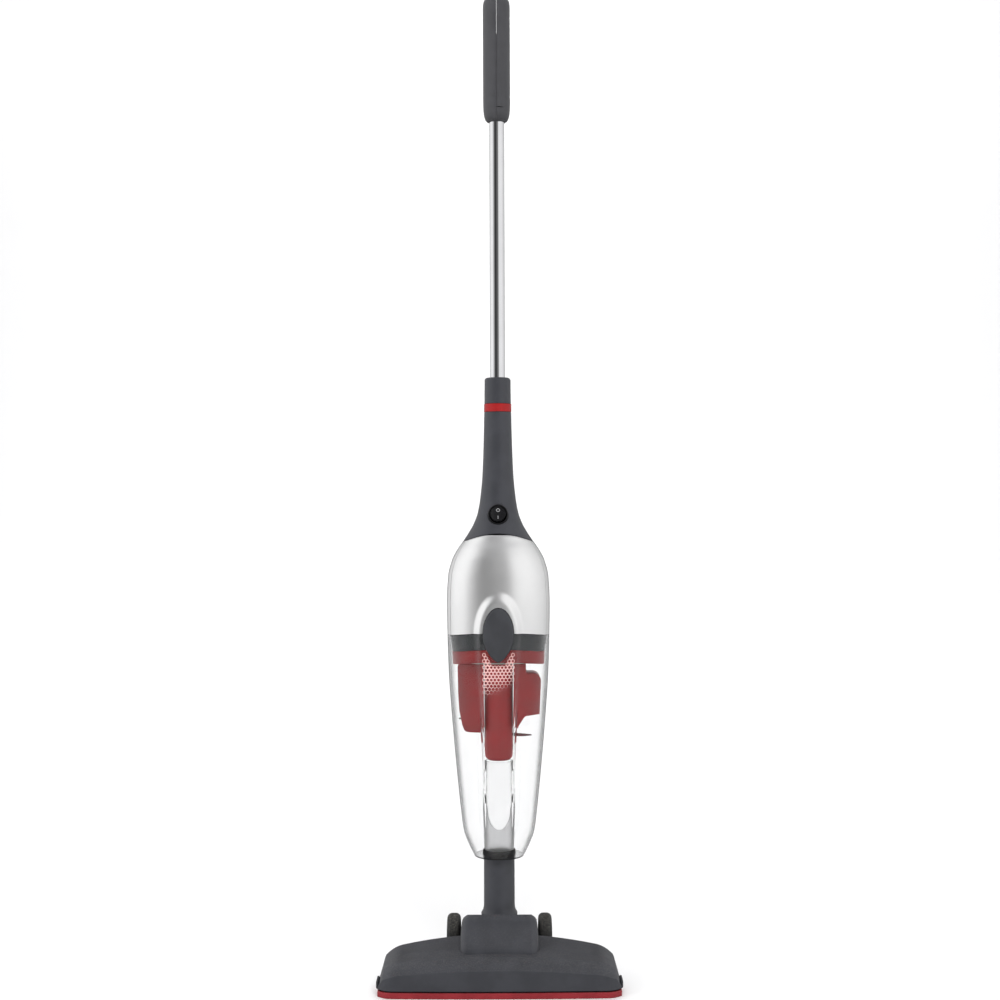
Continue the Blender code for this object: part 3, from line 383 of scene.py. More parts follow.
FINISHES: dict[str, Finish] = {
    finish.name: finish
    for finish in (
        Finish("dark_shell", "dark_grey_plastic", tone("3f4045"), roughness=0.4),
        Finish("dark_grip", "dark_grey_plastic", tone("434346"), roughness=0.42, grain=0.8 * MM,
               depth=0.05 * MM, scratches=0.35),
        Finish("button_plastic", "dark_grey_plastic", tone("3e3f43"), roughness=0.5),
        Finish("silver_paint", "silver_shell", tone("f2f2f2"), Kind.PAINT, 0.32, 0.25 * MM,
               0.003 * MM, 0.02, 0.01, 0.98),
        Finish("clear_cup", "clear_plastic", (0.973, 0.975, 0.976), Kind.CLEAR, 0.012, 3.0 * MM,
               0.002 * MM, 0.15, 0.0, 0.99),
        Finish("clear_pipe", "clear_plastic", (0.985, 0.985, 0.986), Kind.CLEAR, 0.03, 3.0 * MM,
               0.002 * MM, 0.15, 0.0, 0.99),
        Finish("red_moulding", "red_plastic", tone("a61a1c"), roughness=0.5, depth=0.008 * MM,
               scratches=0.1, dust=0.0),
        # A darker copy of the red plastic: painted shade for red parts that sit in shadow.
        Finish("red_dark", "red_plastic", tone("5a1c20"), roughness=0.6, scratches=0.1, dust=0.0),
        Finish("frosted_cup", "clear_plastic", (0.72, 0.72, 0.725), Kind.CLEAR, 0.35, 1.2 * MM,
               0.01 * MM, 0.1, 0.0, 0.97),
        Finish("dark_ring", "dark_grey_plastic", tone("2c3033"), roughness=0.5, depth=0.01 * MM),
        Finish("black_gloss", "black_plastic", tone("18181a"), roughness=0.22, scratches=0.2),
        Finish("red_strip", "red_plastic", tone("96272f"), roughness=0.45, scratches=0.4, dust=0.2),
        Finish("black_moulding", "black_plastic", tone("19191b"), roughness=0.35),
        Finish("black_rubber", "black_rubber", tone("1d1d1e"), roughness=0.72, grain=0.9 * MM,
               depth=0.06 * MM, dust=0.3),
        Finish("pad_rubber", "black_rubber", tone("3a3b3f"), roughness=0.5, dust=0.1),
        Finish("wheel_rubber", "black_rubber", tone("232323"), roughness=0.6, grain=0.7 * MM,
               depth=0.05 * MM, scratches=0.5, dust=0.35),
        Finish("chrome", "chromed_steel", tone("e6e6e8"), Kind.METAL, 0.07, 2.0 * MM, 0.001 * MM,
               0.2, 0.02, 0.97),
        Finish("bright_steel", "bright_steel", tone("b9babd"), Kind.METAL, 0.3, 0.4 * MM, 0.01 * MM,
               0.4, 0.05),
        Finish("copper", "copper_winding", tone("c07a45"), Kind.METAL, 0.35, 0.6 * MM, 0.05 * MM,
               0.1, 0.0),
        Finish("filter_cloth", "white_filter", tone("e4e2da"), Kind.SOFT, 0.9, 0.6 * MM, 0.12 * MM,
               0.0, 0.2),
        Finish("bristle", "grey_bristle", tone("3a3a3c"), Kind.SOFT, 0.9, 0.4 * MM, 0.1 * MM,
               0.0, 0.3),
        Finish("white_print", "clear_plastic", tone("eeb6b2"), roughness=0.6, scratches=0.1,
               dust=0.0),
        Finish("pale_mark", "dark_grey_plastic", tone("a6a6a8"), roughness=0.4, dust=0.05),
    )
}
MADE: dict[str, bpy.types.Material] = {}


def material(name: str) -> bpy.types.Material:
    """The material of a finish, built the first time it is asked for."""
    if name not in MADE:
        MADE[name] = FINISHES[name].make()
    return MADE[name]


# -------------------------------------------------------------------- geometry

def place(piece: bpy.types.Object, body: str, look: str, *replaced: str) -> bpy.types.Object:
    """Dress a finished piece and hand it to the frame.

    Args:
        piece: The object, in place, at the origin.
        body: The body it rides on.
        look: The finish's name.
        *replaced: CAD nodes that it stands for.

    Returns:
        The same piece.
    """
    if not piece.data.materials:
        piece.data.materials.append(material(look))
    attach(piece, body)
    if replaced:
        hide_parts(*replaced)
    return piece


def mesh_object(name: str, bm: bmesh.types.BMesh, recalc: bool = True, angle: float = SHARP
                ) -> bpy.types.Object:
    """Turn a bmesh into a linked object with smooth shading.

    Args:
        name: The object's name.
        bm: The bmesh, freed here.
        recalc: Whether to point the faces outwards.
        angle: Edges sharper than this many degrees stay sharp.

    Returns:
        The new object.
    """
    bmesh.ops.remove_doubles(bm, verts=bm.verts, dist=0.002 * MM)
    if recalc:
        bmesh.ops.recalc_face_normals(bm, faces=bm.faces)
    mesh = bpy.data.meshes.new(name)
    bm.to_mesh(mesh)
    bm.free()
    mesh.shade_smooth()
    mesh.set_sharp_from_angle(angle=math.radians(angle))
    made = bpy.data.objects.new(name, mesh)
    bpy.context.scene.collection.objects.link(made)
    return made


def grid(name: str, rows: Sequence[Sequence[Vector]], wrap_columns: bool = False,
         wrap_rows: bool = False, caps: bool = False, angle: float = SHARP) -> bpy.types.Object:
    """A surface through rows of points.

    Args:
        name: The object's name.
        rows: Rows of points of equal length.
        wrap_columns: Whether each row closes on itself.
        wrap_rows: Whether the last row joins the first.
        caps: Whether to close the first and last rows with flat faces.
        angle: Edges sharper than this stay sharp.

    Returns:
        The new object.
    """
    bm = bmesh.new()
    verts = [[bm.verts.new(point) for point in row] for row in rows]
    pairs = list(zip(verts, verts[1:]))
    if wrap_rows:
        pairs.append((verts[-1], verts[0]))
    width = len(rows[0])
    for lower, upper in pairs:
        for index in range(width if wrap_columns else width - 1):
            after = (index + 1) % width
            bm.faces.new((lower[index], lower[after], upper[after], upper[index]))
    if caps:
        bm.faces.new(list(reversed(verts[0])))
        bm.faces.new(verts[-1])
    closed = caps or (wrap_rows and wrap_columns)
    return mesh_object(name, bm, recalc=closed, angle=angle)


def fillet(points: Sequence[Point2], radius: float, steps: int = 4, closed: bool = True
           ) -> list[Point2]:
    """Round the corners of a polygon with short arcs.

    Args:
        points: The corners.
        radius: Wanted radius; it is cut down where an edge is short.
        steps: Points on each arc, less one.
        closed: Whether the polygon closes; an open one keeps its two ends.

    Returns:
        The rounded outline.
    """
    result: list[Point2] = []
    count = len(points)
    for index, corner in enumerate(points):
        if not closed and index in (0, count - 1):
            result.append(corner)
            continue
        here = Vector(corner)
        before = Vector(points[index - 1]) - here
        after = Vector(points[(index + 1) % count]) - here
        reach = min(radius, before.length * 0.45, after.length * 0.45)
        start = here + before.normalized() * reach
        end = here + after.normalized() * reach
        for step in range(steps + 1):
            t = step / steps
            point = start * (1 - t) ** 2 + here * 2 * t * (1 - t) + end * t * t
            result.append((point.x, point.y))
    return result


AXES = {
    "X": Matrix.Rotation(math.pi / 2, 3, "Y"),
    "Y": Matrix.Rotation(-math.pi / 2, 3, "X"),
    "Z": Matrix.Identity(3),
}


def turned(name: str, profile: Sequence[Point2], centre: Sequence[float] = (0.0, 0.0, 0.0),
           axis: str = "Z", edge: float = 0.4, sides: int = 96, turn: Matrix | None = None
           ) -> bpy.types.Object:
    """Revolve a closed outline of (radius, height), in millimetres, with rounded corners.

    Args:
        name: The object's name.
        profile: The outline's corners.
        centre: Where the outline's origin goes.
        axis: Row axis of revolution.
        edge: Radius of the rounded corners, in millimetres.
        sides: Columns round the axis.
        turn: A further rotation about the centre.

    Returns:
        The new object.
    """
    outline = fillet(profile, edge, 3) if edge else list(profile)
    spin = (turn or Matrix.Identity(3)) @ AXES[axis]
    rows = []
    for angle in circle(sides):
        cosine, sine = math.cos(angle), math.sin(angle)
        rows.append([Vector(centre) + spin @ Vector((r * MM * cosine, r * MM * sine, h * MM))
                     for r, h in outline])
    return grid(name, rows, wrap_columns=True, wrap_rows=True)


def slab(name: str, outline: Sequence[Point2], low: float, high: float, edge: float = 0.6,
         steps: int = 3) -> bpy.types.Object:
    """An outline of (x, z) in millimetres, made thick along Y with rounded rims.

    Args:
        name: The object's name.
        outline: The outline's points.
        low: Front plane, in millimetres.
        high: Rear plane, in millimetres.
        edge: Radius of the rims.
        steps: Rows on each rim.

    Returns:
        The new object.
    """
    middle = Vector((sum(p[0] for p in outline), sum(p[1] for p in outline))) / len(outline)
    rows = []
    for end, sign in ((low, 1), (high, -1)):
        part = []
        for step in range(steps + 1):
            angle = math.pi / 2 * step / steps
            inset = edge * (1 - math.sin(angle))
            depth = end + sign * edge * (1 - math.cos(angle))
            ring = []
            for x, z in outline:
                away = Vector((x, z)) - middle
                near = middle + away * max(0.0, 1 - inset / max(away.length, 0.01))
                ring.append(Vector((near.x * MM, depth * MM, near.y * MM)))
            part.append(ring)
        rows += part if sign > 0 else list(reversed(part))
    return grid(name, rows, wrap_columns=True, caps=True)


def rounded_block(name: str, low: Sequence[float], high: Sequence[float], edge: float = 0.8
                  ) -> bpy.types.Object:
    """A box between two corners in millimetres, with rounded edges.

    Args:
        name: The object's name.
        low: Lowest corner.
        high: Highest corner.
        edge: Radius of the edges.

    Returns:
        The new object.
    """
    bm = bmesh.new()
    bmesh.ops.create_cube(bm, size=1.0)
    size = (Vector(high) - Vector(low)) * MM
    bmesh.ops.scale(bm, vec=size, verts=bm.verts)
    bmesh.ops.translate(bm, vec=(Vector(high) + Vector(low)) / 2 * MM, verts=bm.verts)
    bmesh.ops.bevel(bm, geom=bm.edges[:] + bm.verts[:], offset=edge * MM, segments=3, profile=0.5,
                    affect="EDGES")
    return mesh_object(name, bm)


def apply_all(piece: bpy.types.Object) -> bpy.types.Object:
    """Replace a piece's mesh by what its modifiers make of it.

    Args:
        piece: The object.

    Returns:
        The same object, without modifiers.
    """
    bpy.context.view_layer.update()
    mesh = bpy.data.meshes.new_from_object(
        piece.evaluated_get(bpy.context.evaluated_depsgraph_get()))
    piece.modifiers.clear()
    piece.data = mesh
    return piece


def boolean(piece: bpy.types.Object, others: Iterable[bpy.types.Object], operation: str,
            angle: float = SHARP) -> bpy.types.Object:
    """Cut or join a piece with others, which are used up.

    Args:
        piece: The piece that stays.
        others: The tools.
        operation: DIFFERENCE or UNION.
        angle: Edges sharper than this stay sharp.

    Returns:
        The piece.
    """
    tools = list(others)
    for tool in tools:
        modifier = piece.modifiers.new(tool.name, "BOOLEAN")
        modifier.operation = operation
        modifier.object = tool
        modifier.solver = "EXACT"
    apply_all(piece)
    for tool in tools:
        bpy.data.objects.remove(tool, do_unlink=True)
    piece.data.shade_smooth()
    piece.data.set_sharp_from_angle(angle=math.radians(angle))
    return piece


def thicken(piece: bpy.types.Object, wall: float) -> bpy.types.Object:
    """Give a surface its wall towards the inside.

    Args:
        piece: The surface.
        wall: Thickness in metres.

    Returns:
        The piece, with its wall applied.
    """
    solidify = piece.modifiers.new("wall", "SOLIDIFY")
    solidify.thickness = wall
    solidify.offset = -1.0
    solidify.use_even_offset = True
    apply_all(piece)
    piece.data.shade_smooth()
    piece.data.set_sharp_from_angle(angle=math.radians(SHARP))
    return piece


# -------------------------------------------------------------- geometry nodes

def tree_of(name: str, inputs: dict[str, tuple[str, object]]) -> tuple:
    """Make an empty Geometry Nodes tree with named inputs.

    Args:
        name: The tree's name.
        inputs: Input names, each with its socket type and default.

    Returns:
        The tree, its Nodes helper, its input node and its output node.
    """
    tree = bpy.data.node_groups.new(name, "GeometryNodeTree")
    tree.interface.new_socket("Geometry", in_out="INPUT", socket_type="NodeSocketGeometry")
    for key, (kind, value) in inputs.items():
        socket = tree.interface.new_socket(key, in_out="INPUT", socket_type=kind)
        if value is not None:
            socket.default_value = value
    tree.interface.new_socket("Geometry", in_out="OUTPUT", socket_type="NodeSocketGeometry")
    nodes = Nodes(tree)
    return tree, nodes, nodes.add("NodeGroupInput"), nodes.add("NodeGroupOutput")


def finish_tree(nodes: Nodes, given: bpy.types.Node, result: bpy.types.Node,
                instances: bpy.types.NodeSocket) -> None:
    """End a tree in Realize Instances and Set Material.

    Args:
        nodes: The tree's helper.
        given: Its input node.
        result: Its output node.
        instances: The instances to realize.
    """
    real = nodes.add("GeometryNodeRealizeInstances")
    nodes.link(instances, real.inputs[0])
    dress = nodes.add("GeometryNodeSetMaterial")
    nodes.link(real.outputs[0], dress.inputs["Geometry"])
    nodes.link(given.outputs["Material"], dress.inputs["Material"])
    nodes.link(dress.outputs[0], result.inputs[0])


def row_tree() -> bpy.types.NodeTree:
    """Copies of the given mesh in a straight row."""
    tree, n, given, result = tree_of("row_of_copies", {
        "Count": ("NodeSocketInt", 5), "Step": ("NodeSocketVector", (0.0, 0.0, 0.01)),
        "Material": ("NodeSocketMaterial", None)})
    line = n.add("GeometryNodeMeshLine", mode="OFFSET")
    n.link(given.outputs["Count"], line.inputs["Count"])
    n.link(given.outputs["Step"], line.inputs["Offset"])
    copies = n.add("GeometryNodeInstanceOnPoints")
    n.link(line.outputs[0], copies.inputs["Points"])
    n.link(given.outputs["Geometry"], copies.inputs["Instance"])
    finish_tree(n, given, result, copies.outputs[0])
    return tree


def ring_tree() -> bpy.types.NodeTree:
    """Copies of the given mesh turned about the X axis, as spokes or ribs are."""
    tree, n, given, result = tree_of("ring_of_copies", {
        "Count": ("NodeSocketInt", 12), "Axis": ("NodeSocketVector", (1.0, 0.0, 0.0)),
        "Material": ("NodeSocketMaterial", None)})
    points = n.add("GeometryNodePoints")
    n.link(given.outputs["Count"], points.inputs["Count"])
    copies = n.add("GeometryNodeInstanceOnPoints")
    n.link(points.outputs[0], copies.inputs["Points"])
    n.link(given.outputs["Geometry"], copies.inputs["Instance"])
    index = n.add("GeometryNodeInputIndex")
    share = n.add("ShaderNodeMath", operation="DIVIDE")
    n.link(index.outputs[0], share.inputs[0])
    n.link(given.outputs["Count"], share.inputs[1])
    angle = n.add("ShaderNodeMath", operation="MULTIPLY")
    n.link(share.outputs[0], angle.inputs[0])
    angle.inputs[1].default_value = FULL_TURN
    turn = n.add("FunctionNodeAxisAngleToRotation")
    n.link(given.outputs["Axis"], turn.inputs["Axis"])
    n.link(angle.outputs[0], turn.inputs["Angle"])
    rotate = n.add("GeometryNodeRotateInstances")
    n.link(copies.outputs[0], rotate.inputs["Instances"])
    n.link(turn.outputs[0], rotate.inputs["Rotation"])
    rotate.inputs["Local Space"].default_value = False
    finish_tree(n, given, result, rotate.outputs[0])
    return tree


def bristle_tree() -> bpy.types.NodeTree:
    """Bristles scattered on the given face, standing along a direction, with a fixed seed."""
    tree, n, given, result = tree_of("bristles", {
        "Density": ("NodeSocketFloat", 1.0e6), "Length": ("NodeSocketFloat", 0.003),
        "Radius": ("NodeSocketFloat", 0.0002), "Seed": ("NodeSocketInt", 7),
        "Material": ("NodeSocketMaterial", None)})
    spread = n.add("GeometryNodeDistributePointsOnFaces")
    n.link(given.outputs["Geometry"], spread.inputs["Mesh"])
    n.link(given.outputs["Density"], spread.inputs["Density"])
    n.link(given.outputs["Seed"], spread.inputs["Seed"])
    hair = n.add("GeometryNodeMeshCone")
    hair.inputs["Vertices"].default_value = 4
    n.link(given.outputs["Radius"], hair.inputs["Radius Bottom"])
    n.link(given.outputs["Length"], hair.inputs["Depth"])
    copies = n.add("GeometryNodeInstanceOnPoints")
    n.link(spread.outputs["Points"], copies.inputs["Points"])
    n.link(hair.outputs["Mesh"], copies.inputs["Instance"])
    n.link(spread.outputs["Rotation"], copies.inputs["Rotation"])
    finish_tree(n, given, result, copies.outputs[0])
    return tree


def grow(piece: bpy.types.Object, tree: bpy.types.NodeTree, look: str, **values: object
         ) -> bpy.types.Object:
    """Run a tree on a piece and keep its result as a plain mesh.

    Args:
        piece: The object the tree starts from.
        tree: The tree.
        look: The finish that the tree sets.
        **values: Inputs by name, with underscores for spaces.

    Returns:
        The piece, with the tree's mesh.
    """
    modifier = piece.modifiers.new(tree.name, "NODES")
    modifier.node_group = tree
    given = {"Material": material(look), **values}
    for item in tree.interface.items_tree:
        if item.in_out == "INPUT" and item.name in given:
            modifier[item.identifier] = given[item.name]
    apply_all(piece)
    piece.data.set_sharp_from_angle(angle=math.radians(SHARP))
    return piece


TREES = {"row": row_tree(), "ring": ring_tree(), "bristles": bristle_tree()}


# ------------------------------------------------------------- the body's form

def smoothstep(value: float, low: float, high: float) -> float:
    """Rise smoothly from 0 at low to 1 at high."""
    t = min(1.0, max(0.0, (value - low) / (high - low)))
    return t * t * (3 - 2 * t)


def read_curve(table: Sequence[Point2], x: float) -> float:
    """Read a table of (place, value) with a monotone cubic.

    Args:
        table: Rows in rising order.
        x: The place.

    Returns:
        The value there.
    """
    if x <= table[0][0]:
        return table[0][1]
    if x >= table[-1][0]:
        return table[-1][1]
    index = max(i for i, row in enumerate(table[:-1]) if row[0] <= x)

    def chord(at: int) -> float:
        """Slope between a row and the next."""
        return (table[at + 1][1] - table[at][1]) / (table[at + 1][0] - table[at][0])

    def slope(at: int) -> float:
        """Slope at a row: the harmonic mean of its neighbours, or 0 at a turning point."""
        if at == 0 or at == len(table) - 1:
            return chord(min(at, len(table) - 2))
        before, after = chord(at - 1), chord(at)
        return 0.0 if before * after <= 0 else 2 * before * after / (before + after)

    (x0, y0), (x1, y1) = table[index], table[index + 1]
    span, t = x1 - x0, (x - x0) / (x1 - x0)
    return (y0 * (2 * t ** 3 - 3 * t ** 2 + 1) + span * slope(index) * (t ** 3 - 2 * t ** 2 + t)
            + y1 * (3 * t ** 2 - 2 * t ** 3) + span * slope(index + 1) * (t ** 3 - t ** 2))


@dataclass(frozen=True)
class BodyForm:
    """The outer form shared by the cup, the motor housing and the neck, in millimetres."""

    outline: tuple[Point2, ...] = (
        (144.0, 28.0), (160.0, 35.6), (173.0, 40.2), (197.0, 43.4), (252.0, 48.9),
        (307.0, 53.6), (353.0, 56.7), (398.0, 58.1), (432.0, 58.6), (462.0, 57.2),
        (481.0, 52.6), (494.0, 45.9), (504.0, 38.9), (513.0, 33.1), (522.0, 28.0),
        (535.0, 23.2), (552.0, 20.2), (580.0, 17.6), (620.0, 16.1), (650.0, 15.4),
    )
    parting: float = 396.5
    parting_rise: float = 5.0
    seam: float = 502.5
    seam_rise: float = 9.0
    button_centre: float = 399.8
    rim: float = 20.5
    rim_height: float = 36.0
    ridge: float = 5.0
    channel_inner: tuple[Point2, ...] = (
        (150.0, 14.6), (264.0, 16.4), (300.0, 17.0), (378.0, 19.4), (399.8, 20.5))
    channel_outer: tuple[Point2, ...] = (
        (150.0, 16.2), (264.0, 18.4), (300.0, 21.0), (378.0, 26.5), (399.8, 27.8))
    front_depth: float = 0.97
    rear_depth: float = 0.94

    def half(self, z: float) -> float:
        """Half-width at a height."""
        return read_curve(self.outline, z)

    def ridge_at(self, x: float, z: float) -> float:
        """How far the front channel and its hood stand proud at a point seen from the front.

        Args:
            x: Distance across.
            z: Height.

        Returns:
            The height of the ridge.
        """
        if z > self.button_centre:
            q = math.hypot(x / self.rim, (z - self.button_centre) / self.rim_height)
            return self.ridge * (1 - smoothstep(q, 1.0, 1.36))
        inner, outer = read_curve(self.channel_inner, z), read_curve(self.channel_outer, z)
        share = smoothstep(z, 150.0, 300.0)
        return self.ridge * share * (1 - smoothstep(abs(x), inner, outer))

    def point(self, turn: float, z: float, inset: float = 0.0, ridge: bool = False) -> Vector:
        """A point on the form.

        Args:
            turn: Angle about Z; the front is at -90 degrees.
            z: Height.
            inset: Distance inside the form.
            ridge: Whether the front channel is added.

        Returns:
            The point, in metres.
        """
        half = self.half(z) - inset
        wide = smoothstep(half, 20.0, 45.0)
        cosine, sine = math.cos(turn), math.sin(turn)
        depth = 1.0 - (1.0 - (self.front_depth if sine < 0 else self.rear_depth)) * wide
        power = 2.0 / (2.0 + 0.25 * wide)
        x = half * math.copysign(abs(cosine) ** power, cosine)
        y = half * depth * math.copysign(abs(sine) ** power, sine)
        if ridge and y < 0:
            y -= self.ridge_at(x, z)
        return Vector((x, y, z)) * MM

    def rise(self, turn: float) -> float:
        """Climb of the parting line at an angle."""
        return self.parting_rise * max(0.0, -math.sin(turn)) ** 2

    def seam_at(self, turn: float) -> float:
        """Height of the seam between shell and neck at an angle."""
        return self.seam + self.seam_rise * math.sin(turn) ** 2

    def sheet(self, turns: Sequence[float], rows: int, low: Callable[[float], float],
              high: Callable[[float], float]) -> list[list[Vector]]:
        """Rows of points between two curves round the form.

        Args:
            turns: Angles of the columns.
            rows: Number of rows.
            low: Lower height at each angle.
            high: Upper height at each angle.

        Returns:
            The rows, from the lowest up.
        """
        made = []
        for row in range(rows + 1):
            share = row / rows
            made.append([self.point(t, low(t) + (high(t) - low(t)) * share) for t in turns])
        return made


    def front_at(self, x: float, z: float) -> float:
        """Depth of the front, channel included, at a place seen from the front."""
        half = self.half(z)
        power = 2.0 / (2.0 + 0.25 * smoothstep(half, 20.0, 45.0))
        turn = -math.acos(min(1.0, abs(x) / half) ** (1 / power))
        return self.point(turn, z, ridge=True).y / MM

    def rear_at(self, x: float, z: float) -> float:
        """Depth of the rear, where the body is wide, at a place seen from behind."""
        half = self.half(z)
        return half * self.rear_depth * (1 - (abs(x) / half) ** 2.25) ** (1 / 2.25)


FORM = BodyForm()


def spread(start: float, end: float, count: int) -> list[float]:
    """Evenly spaced numbers, such as angles, both ends included."""
    return [start + (end - start) * index / count for index in range(count + 1)]


def circle(count: int) -> list[float]:
    """Evenly spaced angles once round."""
    return [FULL_TURN * index / count for index in range(count)]


def screw_tree() -> bpy.types.NodeTree:
    """Cross-slotted screw heads on the given points, all facing one way."""
    tree, n, given, result = tree_of("screw_heads", {
        "Radius": ("NodeSocketFloat", 0.0026), "Height": ("NodeSocketFloat", 0.0018),
        "Turn": ("NodeSocketRotation", None), "Material": ("NodeSocketMaterial", None)})
    head = n.add("GeometryNodeMeshCone")
    head.inputs["Vertices"].default_value = 28
    head.inputs["Side Segments"].default_value = 2
    n.link(given.outputs["Radius"], head.inputs["Radius Bottom"])
    n.link(n.math("MULTIPLY", given.outputs["Radius"], 0.72), head.inputs["Radius Top"])
    n.link(given.outputs["Height"], head.inputs["Depth"])
    slots = n.add("GeometryNodeJoinGeometry")
    for long_axis in (0, 1):
        size = n.add("ShaderNodeCombineXYZ")
        for axis in range(2):
            share = 1.15 if axis == long_axis else 0.24
            n.link(n.math("MULTIPLY", given.outputs["Radius"], share), size.inputs[axis])
        n.link(n.math("MULTIPLY", given.outputs["Height"], 1.2), size.inputs[2])
        bar = n.add("GeometryNodeMeshCube")
        n.link(size.outputs[0], bar.inputs["Size"])
        lift = n.add("ShaderNodeCombineXYZ")
        n.link(n.math("MULTIPLY", given.outputs["Height"], 1.1), lift.inputs[2])
        move = n.add("GeometryNodeTransform")
        n.link(bar.outputs["Mesh"], move.inputs["Geometry"])
        n.link(lift.outputs[0], move.inputs["Translation"])
        n.link(move.outputs[0], slots.inputs[0])
    carve = n.add("GeometryNodeMeshBoolean", operation="DIFFERENCE", solver="EXACT")
    n.link(head.outputs["Mesh"], carve.inputs["Mesh 1"])
    n.link(slots.outputs[0], carve.inputs["Mesh 2"])
    carve.inputs["Self Intersection"].default_value = True
    copies = n.add("GeometryNodeInstanceOnPoints")
    n.link(given.outputs["Geometry"], copies.inputs["Points"])
    n.link(carve.outputs[0], copies.inputs["Instance"])
    n.link(given.outputs["Turn"], copies.inputs["Rotation"])
    finish_tree(n, given, result, copies.outputs[0])
    return tree


TREES["screws"] = screw_tree()


def screws(name: str, points: Sequence[Sequence[float]], turn: Sequence[float], body: str,
           radius: float = 2.7, height: float = 1.8) -> bpy.types.Object:
    """Screw heads at points given in millimetres.

    Args:
        name: The piece's name.
        points: Middles of the heads.
        turn: Euler turn of a head that faces +Z.
        body: The body that they ride on.
        radius: Radius of a head, in millimetres.
        height: Height of a head, in millimetres.

    Returns:
        The new piece.
    """
    bm = bmesh.new()
    for point in points:
        bm.verts.new(Vector(point) * MM)
    made = mesh_object(name, bm, recalc=False)
    grow(made, TREES["screws"], "bright_steel", Radius=radius * MM, Height=height * MM, Turn=turn)
    return place(made, body, "bright_steel")


def dress(looks: dict[str, str]) -> None:
    """Give CAD nodes that stay in sight their finishes.

    Args:
        looks: Finish names by node name.
    """
    for node, look in looks.items():
        mesh = frame["nodes"][node].data
        mesh.materials.clear()
        mesh.materials.append(material(look))


def cutter(low: Sequence[float], high: Sequence[float]) -> bpy.types.Object:
    """A plain box between two corners in millimetres, for cutting with."""
    bm = bmesh.new()
    bmesh.ops.create_cube(bm, size=1.0)
    bmesh.ops.scale(bm, vec=(Vector(high) - Vector(low)) * MM, verts=bm.verts)
    bmesh.ops.translate(bm, vec=(Vector(high) + Vector(low)) / 2 * MM, verts=bm.verts)
    return mesh_object("box_cutter", bm)


def drill(radius: float, start: Sequence[float], length: float, axis: str = "Z",
          turn: Matrix | None = None) -> bpy.types.Object:
    """A round bar in millimetres, for cutting with.

    Args:
        radius: Its radius.
        start: Middle of its first end.
        length: Its length along the axis.
        axis: X, Y or Z.
        turn: A further rotation about the start.

    Returns:
        The new object.
    """
    rows = []
    spin = (turn or Matrix.Identity(3)) @ AXES[axis]
    for end in (0.0, length):
        ring = (Vector((radius * math.cos(a), radius * math.sin(a), end)) for a in circle(64))
        rows.append([(Vector(start) + spin @ point) * MM for point in ring])
    return grid("drill", rows, wrap_columns=True, caps=True)


def button_outline(half_width: float, half_height: float, centre_z: float, count: int = 96
                   ) -> list[Point2]:
    """Points of an upright ellipse whose lower half tapers to a tip, in millimetres."""
    points = []
    for turn in circle(count):
        cosine, sine = math.cos(turn), math.sin(turn)
        taper = 1.0 if sine > 0 else 0.5 + 0.5 * abs(cosine)
        points.append((half_width * cosine * taper, centre_z + half_height * sine))
    return points


def button_hole(rear: float) -> bpy.types.Object:
    """A bar through the body's front, up to a depth, that leaves room for the button."""
    outline = button_outline(17.8, 30.6, FORM.button_centre)
    return slab("opening", outline, -75.0, rear, 0.0, 1)


def skin_between(bm: bmesh.types.BMesh, rings: Sequence[Sequence[bmesh.types.BMVert]]) -> None:
    """Join closed rings of equal length, each to the next."""
    for first, second in zip(rings, rings[1:]):
        for k in range(len(first)):
            after = (k + 1) % len(first)
            bm.faces.new((first[k], first[after], second[after], second[k]))


# ------------------------------------------------------------------ floor head

